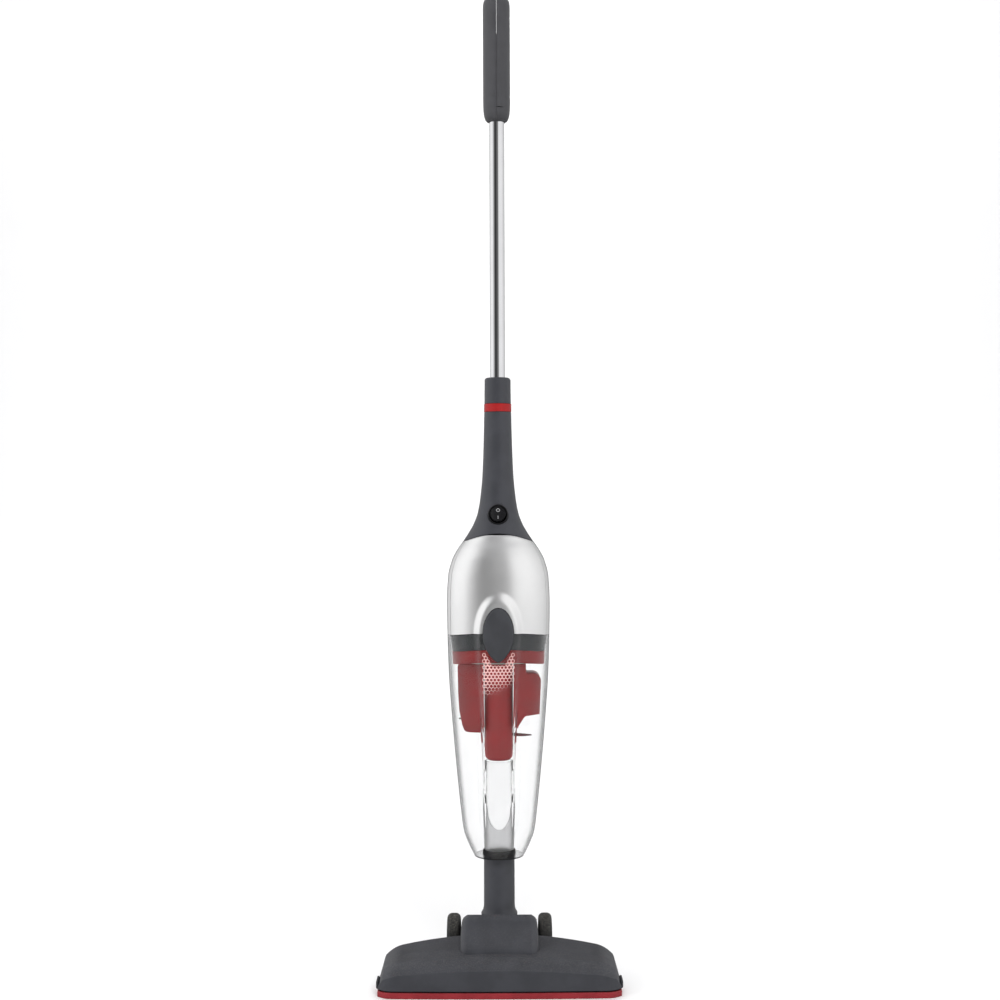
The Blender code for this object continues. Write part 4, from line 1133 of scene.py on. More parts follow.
@dataclass
class FloorHead:
    """Low wide head: cover, sole, red strip, side pads and dust strip."""

    half_width: float = 135.5
    front: float = -68.0
    rear: float = 8.0
    floor: float = 8.5
    wall: float = 2.4
    hump_floor: float = 8.0
    hump_top: float = 82.2
    hump_corner: float = 9.0
    hump_levels: tuple[tuple[float, float, float, float, float], ...] = (
        (8.0, 43.8, -47.0, 60.0, 0.0), (44.0, 43.8, -49.0, 59.0, 0.0),
        (62.0, 43.5, -39.0, 52.0, 0.05), (72.0, 42.8, -32.5, 46.0, 0.17),
        (79.0, 41.2, -29.4, 41.0, 0.24), (82.2, 36.5, -26.0, 36.0, 0.26))
    body: str = "floor_head"

    def tops(self, x: float) -> tuple[float, float, float]:
        """Height of the rear top edge, the crest and the lower crease at a station."""
        return (54.2 - 9.1 * (x / 97.0) ** 2, 43.0 - 4.0 * (x / 88.0) ** 2,
                31.0 - 6.0 * (x / 115.0) ** 2)

    def front_at(self, x: float) -> float:
        """How far forward the head reaches at a station."""
        return self.front + 3.0 * (x / self.half_width) ** 2 + 0.035 * max(0.0, abs(x) - 120) ** 2

    def section(self, x: float, inset: float, floor: float) -> list[Vector]:
        """Outline of the cover at one station.

        Args:
            x: The station.
            inset: Distance inside the cover.
            floor: Height of the outline's two feet.

        Returns:
            The outline's points.
        """
        top, crest, crease = self.tops(x)
        side = self.floor + 1.5 + (self.half_width - abs(x)) * 29.0 / 8.0
        corner = max(0.0, abs(x) - 110.0)
        scale = (min(side, top - 0.018 * corner ** 2) - self.floor) / (top - self.floor)
        front, rear = self.front_at(x), self.rear - 0.021 * max(0.0, abs(x) - 120) ** 2
        outline = [
            (front, crease), (front + 5.0, crease + (crest - crease) * 0.52),
            (front + 13.0, crest), (front + 30.0, crest + (top - crest) * 0.5),
            (rear - 10.0, top), (rear - 3.0, top - 2.6), (rear, top - 9.0)]
        points = [(front + inset, floor)]
        for depth, height in outline:
            depth = min(max(depth, front + inset), rear - inset)
            points.append((depth, self.floor + (height - self.floor) * scale - inset))
        points.append((rear - inset, floor))
        rounded = fillet(points[1:-1], 1.4, 3, closed=False)
        return [Vector((x, y, z)) * MM for y, z in [points[0], *rounded, points[-1]]]

    def stations(self, inset: float) -> list[float]:
        """Places across the head, closer together at the ends."""
        half = self.half_width - inset
        inner = [110.0 * k / 26 for k in range(27)]
        outer = [110.0 + (half - 110.0) * k / 20 for k in range(1, 21)]
        right = inner + outer
        return [-x for x in right[:0:-1]] + right

    def hump_rows(self, inset: float, floor: float) -> list[list[Vector]]:
        """Rings of the middle hump that holds the neck's pivot; its top slopes to the rear.

        Args:
            inset: Distance inside the hump.
            floor: Height of its first ring.

        Returns:
            The rings, from the floor up.
        """
        rows = []
        top = self.hump_top - inset
        corner = self.hump_corner - min(inset, 2.0)
        for share in (0.0, 0.15, 0.3, 0.42, 0.5, 0.56, 0.62, 0.68, 0.74, 0.8, 0.85, 0.89, 0.92,
                      0.95, 0.97, 0.99, 1.0):
            z = floor + (top - floor) * share
            read = max(self.hump_floor, min(self.hump_top, z + inset * share))
            half, front, rear, slope = (
                read_curve([(row[0], row[k]) for row in self.hump_levels], read)
                for k in (1, 2, 3, 4))
            half, front, rear = half - inset, front + inset, rear - inset
            ring = []
            for sx, sy, start in ((1, 1, 0), (-1, 1, 90), (-1, -1, 180), (1, -1, 270)):
                for k in range(9):
                    angle = math.radians(start + 90 * k / 8)
                    middle_y = (rear - corner) if sy > 0 else (front + corner)
                    y = middle_y + corner * math.sin(angle)
                    ring.append(Vector((sx * (half - corner) + corner * math.cos(angle), y,
                                        z - slope * (y - front))) * MM)
            rows.append(ring)
        return rows

    def build_cover(self) -> None:
        """Make the dark cover with its hump, open underneath and behind the neck."""
        skin = [self.section(x, 0.0, self.floor) for x in self.stations(0.0)]
        cover = grid("head_cover_skin", skin, wrap_columns=True, caps=True)
        hump = grid("hump", self.hump_rows(0.0, self.floor), wrap_columns=True, caps=True)
        boolean(cover, [hump], "UNION")
        cavity = grid("cavity", [self.section(x, self.wall, 2.0) for x in self.stations(self.wall)],
                      wrap_columns=True, caps=True)
        hump_cavity = grid("hump_cavity", self.hump_rows(self.wall, 2.0), wrap_columns=True,
                           caps=True)
        cuts = [cavity, hump_cavity, cutter((-21.4, -21.3, 0), (21.4, 80, 92)),
                cutter((-60, 39.4, 0), (60, 46.6, 36.3))]
        for side in (-1, 1):
            low, high = sorted((side * 134.0, side * 140.0))
            cuts.append(cutter((low, -53.3, 5), (high, -31.7, 16.3)))
        boolean(cover, cuts, "DIFFERENCE", 26.0)
        place(cover, self.body, "dark_shell", "head_cover")

    def build_strip(self) -> None:
        """Make the red strip that wraps the front edge."""
        profile = fillet([(0.0, 0.0), (0.0, 6.5), (4.2, 6.5), (4.2, 0.0)], 1.1, 3)
        rows = []
        half, count = self.half_width, 80
        path = [(-half - 0.2, -18.0 - 2.0 * k) for k in range(15)]
        path += [(x, self.front_at(x) - 0.4)
                 for x in (half * (2 * k / count - 1) for k in range(count + 1))]
        path += [(half + 0.2, -46.0 + 2.0 * k) for k in range(15)]
        for index, (x, y) in enumerate(path):
            before, after = path[max(0, index - 2)], path[min(len(path) - 1, index + 2)]
            along = (Vector(after) - Vector(before)).normalized()
            inward = Vector((-along.y, along.x))
            rows.append([Vector((x + inward.x * d, y + inward.y * d, z)) * MM for d, z in profile])
        strip = grid("red_edge_strip", rows, wrap_columns=True, caps=True)
        place(strip, self.body, "red_strip", "front_bumper")

    def build_sole(self) -> None:
        """Dress the sole and add its screws, side pads and dust strip."""
        dress({"head_base": "dark_shell", "pivot_cap_left": "dark_shell",
               "pivot_cap_right": "dark_shell", "axle_left": "bright_steel",
               "axle_right": "bright_steel"})
        screws("sole_screws", [(-85, -56.5, 1.6), (85, -56.5, 1.6), (0, 48, 1.6)], (math.pi, 0, 0),
               self.body)
        for side, name in ((-1, "left"), (1, "right")):
            low, high = sorted((side * 134.3, side * 137.2))
            pad = rounded_block(f"side_pad_{name}_ribbed", (low, -53, 7.5), (high, -32, 16), 1.1)
            face = side * 137.4
            grooves = [cutter((face - 0.8, -50.2 + 4.4 * k, 4), (face + 0.8, -49 + 4.4 * k, 24))
                       for k in range(4)]
            place(boolean(pad, grooves, "DIFFERENCE"), self.body, "pad_rubber", f"side_pad_{name}")
        holder = rounded_block("dust_strip_backing", (-118.5, -52, 2.9), (118.5, -44, 4.0), 0.3)
        place(holder, self.body, "bristle")
        bm = bmesh.new()
        corners = ((-117.5, -51.2), (-117.5, -44.8), (117.5, -44.8), (117.5, -51.2))
        bm.faces.new([bm.verts.new(Vector((x, y, 2.95)) * MM) for x, y in corners])
        strip = mesh_object("dust_strip_bristles", bm, recalc=False)
        grow(strip, TREES["bristles"], "bristle", Density=2.2e6, Length=2.6 * MM, Radius=0.3 * MM)
        place(strip, self.body, "bristle", "lint_strip")

    def build(self) -> None:
        """Make the whole head."""
        self.build_cover()
        self.build_strip()
        self.build_sole()


@dataclass
class Wheel:
    """One rear wheel: a round-shouldered tyre on a spoked rim."""

    side: int
    radius: float = 32.7
    width: float = 15.6
    shoulder: float = 5.6
    spokes: int = 9
    inner: float = 45.4
    y: float = 43.0
    name: str = field(init=False)

    def __post_init__(self) -> None:
        """Name the wheel by its side."""
        self.name = "left" if self.side < 0 else "right"

    def centre(self) -> Vector:
        """Middle of the wheel, in metres."""
        return Vector((self.side * (self.inner + self.width / 2), self.y, self.radius)) * MM

    def spun(self, label: str, outline: Sequence[Point2], edge: float) -> bpy.types.Object:
        """A ring turned about the axle."""
        return turned(f"{label}_{self.name}", outline, self.centre(), "X", edge, 112)

    def build(self) -> None:
        """Make the rounded tyre, the disc and its spokes."""
        half, r, bend = self.width / 2, self.radius, self.shoulder
        body = f"wheel_{self.name}"
        shoulder = [(r - bend * (1 - math.sin(a)), half - bend * (1 - math.cos(a)))
                    for a in spread(0.0, math.pi / 2, 8)]
        tyre = self.spun("round_tyre", shoulder + [(x, -y) for x, y in reversed(shoulder)], 0.3)
        place(tyre, body, "wheel_rubber", f"tyre_{self.name}")
        rim = r - 4.8
        shape = [(rim, half - 1), (rim, 1 - half), (rim - 3, 1 - half), (rim - 3, -1.5), (9, -1.5),
                 (9, 1 - half), (3.4, 1 - half), (3.4, half - 1), (9, half - 1), (9, 1.5),
                 (rim - 3, 1.5), (rim - 3, half - 1)]
        place(self.spun("wheel_disc", shape, 0.5), body, "black_moulding", f"wheel_rim_{self.name}")
        spokes = rounded_block(f"wheel_spokes_{self.name}", (-half + 2.4, -0.9, 8.6),
                               (half - 2.4, 0.9, rim - 2.6), 0.3)
        grow(spokes, TREES["ring"], "black_moulding", Count=self.spokes)
        spokes.data.transform(Matrix.Translation(self.centre()))
        place(spokes, body, "black_moulding")


@dataclass
class Neck:
    """Elbow that carries the upright body on the head."""

    pivot: float = 42.0
    body: str = "neck"

    def build(self) -> None:
        """Make the barrel, the tube and the spigot as one moulding."""
        barrel = turned("neck_moulding", ((21.0, 24.5), (21.0, -24.5), (8.6, -24.5), (8.0, -34.2),
                                         (2.0, -34.2), (2.0, 34.2), (8.0, 34.2), (8.6, 24.5)),
                        (0, 0, self.pivot * MM), "X", 0.7)
        tube_form = turned("tube_form", (
            (14.0, 150.5), (14.0, 143.6), (16.8, 143.6), (17.5, 142.4), (17.6, 88.0), (17.9, 84.6),
            (18.8, 81.6), (20.6, 78.6), (20.6, 55.0), (5.0, 55.0), (5.0, 150.5)), edge=0.8)
        boolean(barrel, [tube_form], "UNION")
        boolean(barrel, [drill(15.0, (0, 0, 0), 136.0), drill(12.2, (0, 0, 100), 80.0)],
                "DIFFERENCE")
        place(barrel, self.body, "dark_shell", "neck_elbow")


# -------------------------------------------------------------------- dust cup

@dataclass
class DustCup:
    """Clear cup with its inlet pipe, seal and honeycomb print."""

    bottom: float = 144.0
    wall: float = 1.5
    mouth: float = 15.0
    pitch: float = 4.0
    print_rows: int = 26
    print_top: float = 384.0
    saddle_radius: float = 16.9
    saddle_window: float = 13.2
    body: str = "dust_cup"

    def build_cup(self) -> None:
        """Make the clear wall and its floor, open at the pipe and at the button."""
        turns = spread(-math.pi, 0.0, 132)[:-1] + spread(0.0, math.pi, 80)[:-1]
        depth = FORM.parting - self.bottom
        heights = [self.bottom + 0.01]
        heights += [self.bottom + depth * (k / 90) ** 1.12 for k in range(1, 91)]
        hole = [Vector((self.mouth * math.cos(t), self.mouth * math.sin(t), self.bottom)) * MM
                for t in turns]
        foot = [FORM.point(t, self.bottom, ridge=True) for t in turns]
        rows = [hole] + [[inner.lerp(outer, share) for inner, outer in zip(hole, foot)]
                         for share in (0.33, 0.66, 0.9)]
        for z in heights:
            near_top = smoothstep(z, 380.0, FORM.parting)
            ring = []
            for t in turns:
                point = FORM.point(t, z, ridge=True)
                point.z += near_top * FORM.rise(t) * MM
                ring.append(point)
            rows.append(ring)
        cup = grid("clear_cup_wall", rows, wrap_columns=True, angle=40.0)
        thicken(cup, self.wall * MM)
        boolean(cup, [button_hole(-50.0)], "DIFFERENCE", 40.0)
        place(cup, self.body, "clear_cup", "dust_cup")

    def build_pipe(self) -> None:
        """Make the clear inlet pipe, its frosted saddle and its black seal."""
        pipe = turned("clear_inlet_pipe",
                      ((16.0, 252.0), (16.0, 147.0), (14.7, 147.0), (14.7, 252.0)))
        place(pipe, self.body, "clear_pipe", "inlet_pipe")
        seal = turned("inlet_seal_ring", (
            (16.3, 151.0), (18.0, 151.0), (18.8, 149.4), (18.8, 144.6), (18.0, 143.8),
            (14.4, 143.8), (14.4, 146.7), (16.3, 146.7)), edge=0.6)
        place(seal, self.body, "black_rubber", "inlet_seal")
        rows = []
        radius, window, low = self.saddle_radius, self.saddle_window, 150.6
        for share in spread(0.0, 1.0, 30):
            row = []
            for t in spread(-math.pi, 0.0, 72):
                x = radius * math.cos(t)
                if abs(x) < window:
                    top = 176.0 + 22.0 * (1 - math.sqrt(1 - (x / window) ** 2))
                else:
                    top = 198.0 + 14.0 * (abs(x) - window) / (radius - window)
                row.append(Vector((x, radius * math.sin(t), low + (top - low) * share)) * MM)
            rows.append(row)
        saddle = grid("frosted_saddle", rows)
        thicken(saddle, 0.7 * MM)
        place(saddle, self.body, "frosted_cup")

    def weight(self, x: float, z: float) -> float:
        """Line width of the honeycomb print at a place, from 0 to 1."""
        away = math.hypot(x / 18.7, (z - FORM.button_centre) / 34.8)
        below_button = smoothstep(away, 0.97, 1.03)
        sides = 1 - smoothstep(abs(x), 16.6, 17.6)
        return below_button * sides * smoothstep(z - 0.5 * x, 332.0, 358.0)

    def build_print(self) -> None:
        """Print the honeycomb of fine white lines below the button."""
        bm = bmesh.new()
        step_z = self.pitch * math.sqrt(3) / 2
        outer = self.pitch / math.sqrt(3)
        for row in range(self.print_rows):
            z = 392.0 - row * step_z
            for column in range(-5, 6):
                x = (column + 0.5 * (row % 2)) * self.pitch
                weight = self.weight(x, z)
                if weight < 0.08 or z > self.print_top:
                    continue
                self.add_cell(bm, x, z, outer, outer * (1 - 0.34 * weight))
        made = mesh_object("honeycomb_print", bm, angle=60.0)
        place(made, self.body, "white_print")

    def add_cell(self, bm: bmesh.types.BMesh, x: float, z: float, outer: float,
                 inner: float) -> None:
        """Add one hexagonal ring that lies on the cup's front.

        Args:
            bm: The mesh it goes into.
            x: Its middle across.
            z: Its middle's height.
            outer: Outer radius.
            inner: Inner radius.
        """
        rings = []
        for radius, proud in ((outer, 0.05), (outer, 0.11), (inner, 0.11), (inner, 0.05)):
            ring = []
            for k in range(6):
                angle = math.pi / 6 + k * math.pi / 3
                px, pz = x + radius * math.cos(angle), z + radius * math.sin(angle)
                surface = FORM.front_at(px, pz)
                ring.append(bm.verts.new(Vector((px, surface - proud, pz)) * MM))
            rings.append(ring)
        skin_between(bm, rings + rings[:1])

    def build(self) -> None:
        """Make the whole cup."""
        self.build_cup()
        self.build_pipe()
        self.build_print()


# ------------------------------------------------------------------- separator

@dataclass
class Separator:
    """Red cyclone insert that lifts out of the cup."""

    body: str = "separator"

    def solid(self, name: str, levels: Sequence[Point2], rise: bool = True, edge: float = 0.6
              ) -> bpy.types.Object:
        """A solid of the body's own section.

        Args:
            name: The object's name.
            levels: Rows of (height, inset).
            rise: Whether the heights follow the parting line.
            edge: Radius of the rounded edges.

        Returns:
            The new object.
        """
        (low, first), (high, last) = levels
        rows = []
        near = edge * 0.3
        for z, inset in ((low, first + edge), (low + near, first + near), (low + edge, first),
                         (high - edge, last), (high - near, last + near), (high, last + edge)):
            ring = []
            for t in circle(120):
                point = FORM.point(t, z, inset)
                point.z += FORM.rise(t) * MM if rise else 0.0
                ring.append(point)
            rows.append(ring)
        return grid(name, rows, wrap_columns=True, caps=True)

    def build_flange(self) -> None:
        """Make the red flange that carries the filter."""
        flange = self.solid("red_flange", ((363.5, 4.9), (377.7, 4.7)), edge=0.25)
        pocket = self.solid("pocket", ((366.0, 7.2), (390.0, 7.2)), False)
        boolean(flange, [pocket, drill(12.5, (-29, 2, 355), 20.0)], "DIFFERENCE")
        place(flange, self.body, "red_moulding", "separator_flange")

    def build_column(self) -> None:
        """Make the cyclone column with its slotted outlet."""
        column = turned("red_column", (
            (16.3, 363.1), (16.3, 262.0), (15.4, 256.5), (12.6, 253.2), (9.0, 252.6), (9.0, 254.6),
            (12.0, 255.4), (14.3, 262.5), (14.3, 361.0), (3.0, 361.0), (3.0, 363.1)),
            edge=0.9, sides=112)
        boolean(column, [cutter((-4, 5, 288), (11, 40, 352))], "DIFFERENCE")
        place(column, self.body, "red_moulding", "cyclone_column")

    def build_cage(self) -> None:
        """Make the filter cage on the left with its rear windows."""
        outline = fillet([(-46.4, 363.45), (-45.8, 330.0), (-44.6, 311.0), (-41.2, 294.0),
                          (-38.6, 287.6), (-34.0, 286.2), (-17.2, 285.5), (-17.2, 363.45)], 3.0, 4)
        cage = slab("red_filter_cage", outline, -15.0, 20.0, 0.9, 4)
        room = cutter((-41.2, -13, 293.0), (-19.2, 18, 361.6))
        windows = [cutter((-39.0, 10, 295 + 17 * k), (-21.5, 30, 307 + 17 * k)) for k in range(4)]
        boolean(cage, [room, *windows], "DIFFERENCE")
        lip = rounded_block("cage_side_lip", (-45.6, -3.0, 299.4), (-42.0, 3.0, 300.6), 0.4)
        # The lip takes the darker copy of the red plastic, a painted shade.
        place(lip, self.body, "red_dark")
        pad = rounded_block("pleated_cage_filter", (-40.6, -12, 294.0), (-20.2, 16, 361.2), 0.5)
        place(pad, self.body, "filter_cloth", "cage_filter")
        place(cage, self.body, "red_moulding", "filter_cage")

    def build_deflector(self) -> None:
        """Make the air deflector on the right and the fin under it."""
        corner = [(39.0 + 9 * math.cos(a), 344.0 + 9 * math.sin(a))
                  for a in spread(0.0, math.pi / 2, 9)]
        lower = fillet([(31.0, 363.45), (17.2, 363.45), (17.2, 291.0), (20.6, 290.0), (29.7, 304.0),
                        (46.2, 306.5)], 1.6, 3, closed=False)
        outline = lower + corner + [(33.0, 353.0), (31.4, 354.0), (31.0, 356.0)]
        deflector = slab("red_air_deflector", outline, -15.0, 18.0, 1.2, 4)
        boolean(deflector, [cutter((19.2, -13, 309), (44.0, 40, 349))], "DIFFERENCE")
        place(deflector, self.body, "red_moulding", "air_deflector")
        fin = slab("red_fin", fillet([(16.4, 283.6), (16.4, 280.4), (28.0, 280.2), (37.7, 281.2),
                                     (37.2, 281.8), (27.0, 282.8)], 0.8, 3), -6.0, 0.0, 0.4)
        # The fin takes the darker copy of the red plastic: painted shade for the fin, which sits in
        # shadow.
        place(fin, self.body, "red_dark", "spiral_fin")

    def build(self) -> None:
        """Make the whole separator."""
        self.build_flange()
        self.build_column()
        self.build_cage()
        self.build_deflector()
        dress({"motor_filter": "filter_cloth"})


# ------------------------------------------------------------------ motor unit

@dataclass
class MotorUnit:
    """Silver and dark housing over the cup, with the neck, the switch and the motor."""

    wall: float = 2.3
    gap: float = 0.15
    side_seam: float = math.radians(9.4)
    lean: float = math.radians(12.0)
    switch: tuple[float, float, float] = (0.0, -24.0, 533.0)
    body: str = "motor_unit"

    def shell_foot(self, turn: float) -> float:
        """Height of the shells' lower edge at an angle."""
        return FORM.parting + 2 * self.gap + FORM.rise(turn)

    def arch_at(self, turn: float) -> float:
        """Height of the front shell's upper edge at an angle, with a wider gap in the middle."""
        x = FORM.half(511.0) * math.cos(turn)
        return FORM.seam_at(turn) - self.gap - 1.5 * math.exp(-(x / 13.0) ** 2)

    def lean_back(self) -> Matrix:
        """Turn of the switch, which leans back with the neck."""
        return Matrix.Rotation(-self.lean, 3, "X")

    def build_front(self) -> None:
        """Make the silver front shell with its hood round the button."""
        groove = math.radians(23.6)
        turns = spread(self.side_seam - math.pi, -self.side_seam, 120)
        for side in (-groove, groove - math.pi):
            turns += [side + math.radians(k) for k in (-0.9, -0.45, 0.0, 0.45, 0.9)]
        rows = []
        for index in range(91):
            share = 1 - (1 - index / 90) ** 1.25
            row = []
            for t in sorted(turns):
                away = min(abs(t + groove), abs(t + math.pi - groove))
                sunk = 1.3 * (1 - smoothstep(away, 0.0, math.radians(0.9)))
                low, high = self.shell_foot(t), self.arch_at(t)
                z = low + (high - low) * share
                sunk += 0.7 * (1 - smoothstep(high - z, 0.0, 1.8)) ** 2
                row.append(FORM.point(t, z, inset=sunk, ridge=True))
            rows.append(row)
        shell = grid("silver_front_shell", rows)
        thicken(shell, self.wall * MM)
        boolean(shell, [button_hole(-40.0)], "DIFFERENCE")
        place(shell, self.body, "silver_paint", "front_shell")

    def build_rear(self) -> None:
        """Make the dark rear shell with its screws and exhaust grille."""
        turns = spread(0.005 - self.side_seam, math.pi + self.side_seam - 0.005, 120)
        rows = FORM.sheet(turns, 56, self.shell_foot, lambda t: FORM.seam_at(t) - self.gap)
        shell = grid("dark_rear_shell", rows)
        thicken(shell, self.wall * MM)
        cuts = [cutter((-27, 30, 424), (27, 70, 470))]
        cuts += [drill(3.2, (x, 20, 412), 50.0, "Y") for x in (-34, 34)]
        boolean(shell, cuts, "DIFFERENCE")
        place(shell, self.body, "dark_shell", "rear_shell")
        depth = FORM.point(math.radians(53), 412.0).y / MM
        screws("shell_screws", [(x, depth - 3.2, 412) for x in (-34, 34)], (-math.pi / 2, 0, 0),
               self.body)
        self.build_grille()

    def build_grille(self) -> None:
        """Make the exhaust grille: a frame with a row of louvres."""
        rows = [[Vector((x, FORM.rear_at(x, z), z)) * MM for x in spread(26.6, -26.6, 36)]
                for z in spread(424.4, 469.6, 20)]
        panel = grid("grille_frame", rows)
        thicken(panel, self.wall * MM)
        boolean(panel, [cutter((-23.0, 30, 428.0), (23.0, 70, 466.0))], "DIFFERENCE")
        place(panel, self.body, "black_moulding", "exhaust_grille")
        bm = bmesh.new()
        rings = []
        for x in spread(-23.4, 23.4, 24):
            y = FORM.rear_at(x, 447.0)
            ring = [(y - 0.5, 2.4), (y - 3.4, 0.6), (y - 3.4, -0.4), (y - 0.7, 1.2)]
            rings.append([bm.verts.new(Vector((x, d, 430.0 + h)) * MM) for d, h in ring])
        skin_between(bm, rings)
        bm.faces.new(rings[0])
        bm.faces.new(rings[-1])
        slats = mesh_object("grille_louvres", bm)
        grow(slats, TREES["row"], "black_moulding", Count=8, Step=(0.0, 0.0, 4.4 * MM))
        place(slats, self.body, "black_moulding")

    def build_neck(self) -> None:
        """Make the two dark halves that run up to the collar."""
        for label, front in (("front", True), ("rear", False)):
            rows = []
            for index in range(111):
                share = (index / 110) ** 1.4
                row = []
                for k in range(73):
                    low, high = FORM.seam_at(0.0), 649.7
                    trim = 0.0 if front else 0.9 / FORM.half(low + (high - low) * share)
                    turn = (-math.pi if front else 0.0) + trim + (math.pi - 2 * trim) * k / 72
                    low = FORM.seam_at(turn) + self.gap
                    edge = 0.5 * (1 - smoothstep(index, 0, 3)) ** 2
                    row.append(FORM.point(turn, low + (high - low) * share, inset=edge))
                rows.append(row)
            half = grid(f"dark_neck_{label}", rows)
            thicken(half, self.wall * MM)
            if front:
                start = Vector(self.switch) + self.lean_back() @ Vector((0, -20, 0))
                boolean(half, [drill(11.9, start, 32.0, "Y", self.lean_back())], "DIFFERENCE")
            else:
                holes = [drill(6.3, (0, 5, 572), 40.0, "Y"), drill(2.7, (0, 5, 604), 40.0, "Y")]
                boolean(half, holes, "DIFFERENCE")
            place(half, self.body, "dark_shell", f"neck_shell_{label}")

    def build_collar(self) -> None:
        """Make the red band and the collar that grips the tube."""
        band = turned("red_neck_band",
                      ((15.6, 659.0), (15.6, 650.0), (13.0, 650.0), (13.0, 659.0)), edge=0.5)
        place(band, self.body, "red_moulding", "red_band")
        rounding = [(11.5 + 3.4 * math.cos(a), 685.6 + 3.4 * math.sin(a))
                    for a in spread(0.0, math.pi / 2, 10)]
        profile = [(15.1, 659.4), *rounding, (8.9, 689.0), (8.9, 659.4)]
        collar = turned("tube_collar", profile, edge=0.0)
        place(collar, self.body, "dark_shell", "neck_collar")

    def build_switch(self) -> None:
        """Make the thick round bezel of the switch."""
        profile = ((9.9, 1.2), (11.3, 1.2), (11.6, -0.6), (11.2, -2.0), (10.3, -2.0), (9.9, -1.0))
        bezel = turned("switch_ring", profile, Vector(self.switch) * MM, "Y", 0.5,
                       turn=self.lean_back())
        place(bezel, self.body, "black_moulding", "switch_bezel")
        dress({"switch_body": "black_moulding"})

    def build_base(self) -> None:
        """Make the dark ring that closes the housing over the cup."""
        ring = Separator().solid("dark_base_ring", ((378.0, 4.9), (395.9, 2.9)))
        inside = Separator().solid("inside", ((381.0, 7.4), (405.0, 5.4)), False)
        boolean(ring, [inside, drill(26.0, (0, 0, 370), 20.0)], "DIFFERENCE")
        place(ring, self.body, "dark_ring", "motor_base_ring")

    def build_gland(self) -> None:
        """Make the ribbed rubber gland that the cord would enter by."""
        profile = ((3.6, 18.0), (3.6, -6.0), (6.0, -6.0), (6.0, 2.4), (5.8, 4.4), (5.0, 4.8),
                   (5.0, 5.8), (5.7, 6.2), (5.6, 7.8), (4.9, 8.2), (4.9, 9.2), (5.5, 9.6),
                   (5.4, 11.2), (4.8, 11.6), (4.8, 12.6), (5.2, 13.0), (5.1, 14.6), (4.7, 15.0),
                   (4.7, 16.0), (4.9, 16.4), (4.8, 18.0))
        gland = turned("ribbed_gland", profile, (0, 16.5 * MM, 572 * MM), "Y", 0.25, 64)
        place(gland, self.body, "black_rubber", "cord_gland")

    def build(self) -> None:
        """Make the housing and dress what is inside it."""
        self.build_front()
        self.build_rear()
        self.build_neck()
        self.build_collar()
        self.build_switch()
        self.build_base()
        self.build_gland()
        dress({
            "exhaust_filter": "filter_cloth", "tube_socket": "black_moulding",
            "fan_shroud": "bright_steel", "lower_motor_mount": "black_rubber",
            "motor_housing": "black_moulding", "upper_motor_mount": "black_rubber",
            "stator": "copper",
            "lower_bearing": "bright_steel", "upper_bearing": "bright_steel",
            "carbon_brush_left": "copper", "carbon_brush_right": "copper",
            "release_spring": "bright_steel", "hook_pin": "bright_steel",
            "motor_shaft": "bright_steel", "armature": "copper", "commutator": "copper",
            "impeller": "bright_steel"})


@dataclass
class Controls:
    """Rocker of the switch and the button that frees the cup."""

    rocker_centre: tuple[float, float, float] = (0.0, -22.533, 532.688)
    tilt: float = math.radians(21.0)
    button_front: float = -63.0
    button_half: Point2 = (17.2, 30.0)

    def on_rocker(self, x: float, depth: float, z: float) -> Vector:
        """A point given in the rocker's own axes, in metres."""
        turn = Matrix.Rotation(-self.tilt, 3, "X")
        return (Vector(self.rocker_centre) + turn @ Vector((x, depth, z))) * MM

    def rocker_face(self, x: float, z: float, proud: float = 0.0) -> Vector:
        """A point on the rocker's dished face.

        Args:
            x: Place across, from its middle.
            z: Place up, from its middle.
            proud: Distance in front of the face.

        Returns:
            The point, in metres.
        """
        dish = 0.75 - 0.016 * x * x if abs(x) < 7.5 else -0.15
        return self.on_rocker(x, -3.9 + dish * 0.6 - 0.012 * z * z - proud, z)

    def build_rocker(self) -> None:
        """Make the dished rocker with its two marks."""
        round_turn = circle(72)
        rows = [[self.rocker_face(r * math.cos(a), r * math.sin(a)) for a in round_turn]
                for r in spread(0.6, 8.7, 12)]
        for r, depth in ((8.9, -3.2), (9.0, -2.4), (9.0, 4.0)):
            rows.append([self.on_rocker(r * math.cos(a), depth, r * math.sin(a))
                         for a in round_turn])
        rocker = grid("round_rocker", rows, wrap_columns=True, caps=True)
        place(rocker, "rocker", "black_gloss", "switch_rocker")
        ring = [[self.rocker_face(r * math.cos(a), 4.2 + r * 0.95 * math.sin(a), proud)
                 for r, proud in ((1.5, -0.1), (1.5, 0.12), (2.1, 0.12), (2.1, -0.1))]
                for a in circle(40)]
        mark = grid("rocker_ring_mark", ring, wrap_columns=True, wrap_rows=True)
        place(mark, "rocker", "pale_mark")
        bar = [[self.rocker_face(x, z, proud)
                for x, proud in ((-0.32, -0.1), (-0.32, 0.12), (0.32, 0.12), (0.32, -0.1))]
               for z in spread(-6.2, -2.4, 8)]
        mark = grid("rocker_bar_mark", bar, wrap_columns=True, caps=True)
        place(mark, "rocker", "pale_mark")

    def build_button(self) -> None:
        """Make the crowned oval button."""
        rows = []
        half_width, half_height = self.button_half
        for depth, scale in ((4.2, 0.97), (4.0, 1.0), (1.9, 1.0), (1.1, 0.988), (0.5, 0.96),
                             (0.12, 0.915), (-0.15, 0.85), (-0.45, 0.72), (-0.68, 0.55),
                             (-0.82, 0.38), (-0.9, 0.2), (-0.93, 0.05)):
            outline = button_outline(half_width * scale, half_height * scale,
                                     FORM.button_centre, 120)
            rows.append([Vector((x, self.button_front + depth, z)) * MM for x, z in outline])
        button = grid("oval_button", rows, wrap_columns=True, caps=True)
        place(button, "button", "button_plastic", "release_button")

    def build(self) -> None:
        """Make both controls."""
        self.build_rocker()
        self.build_button()


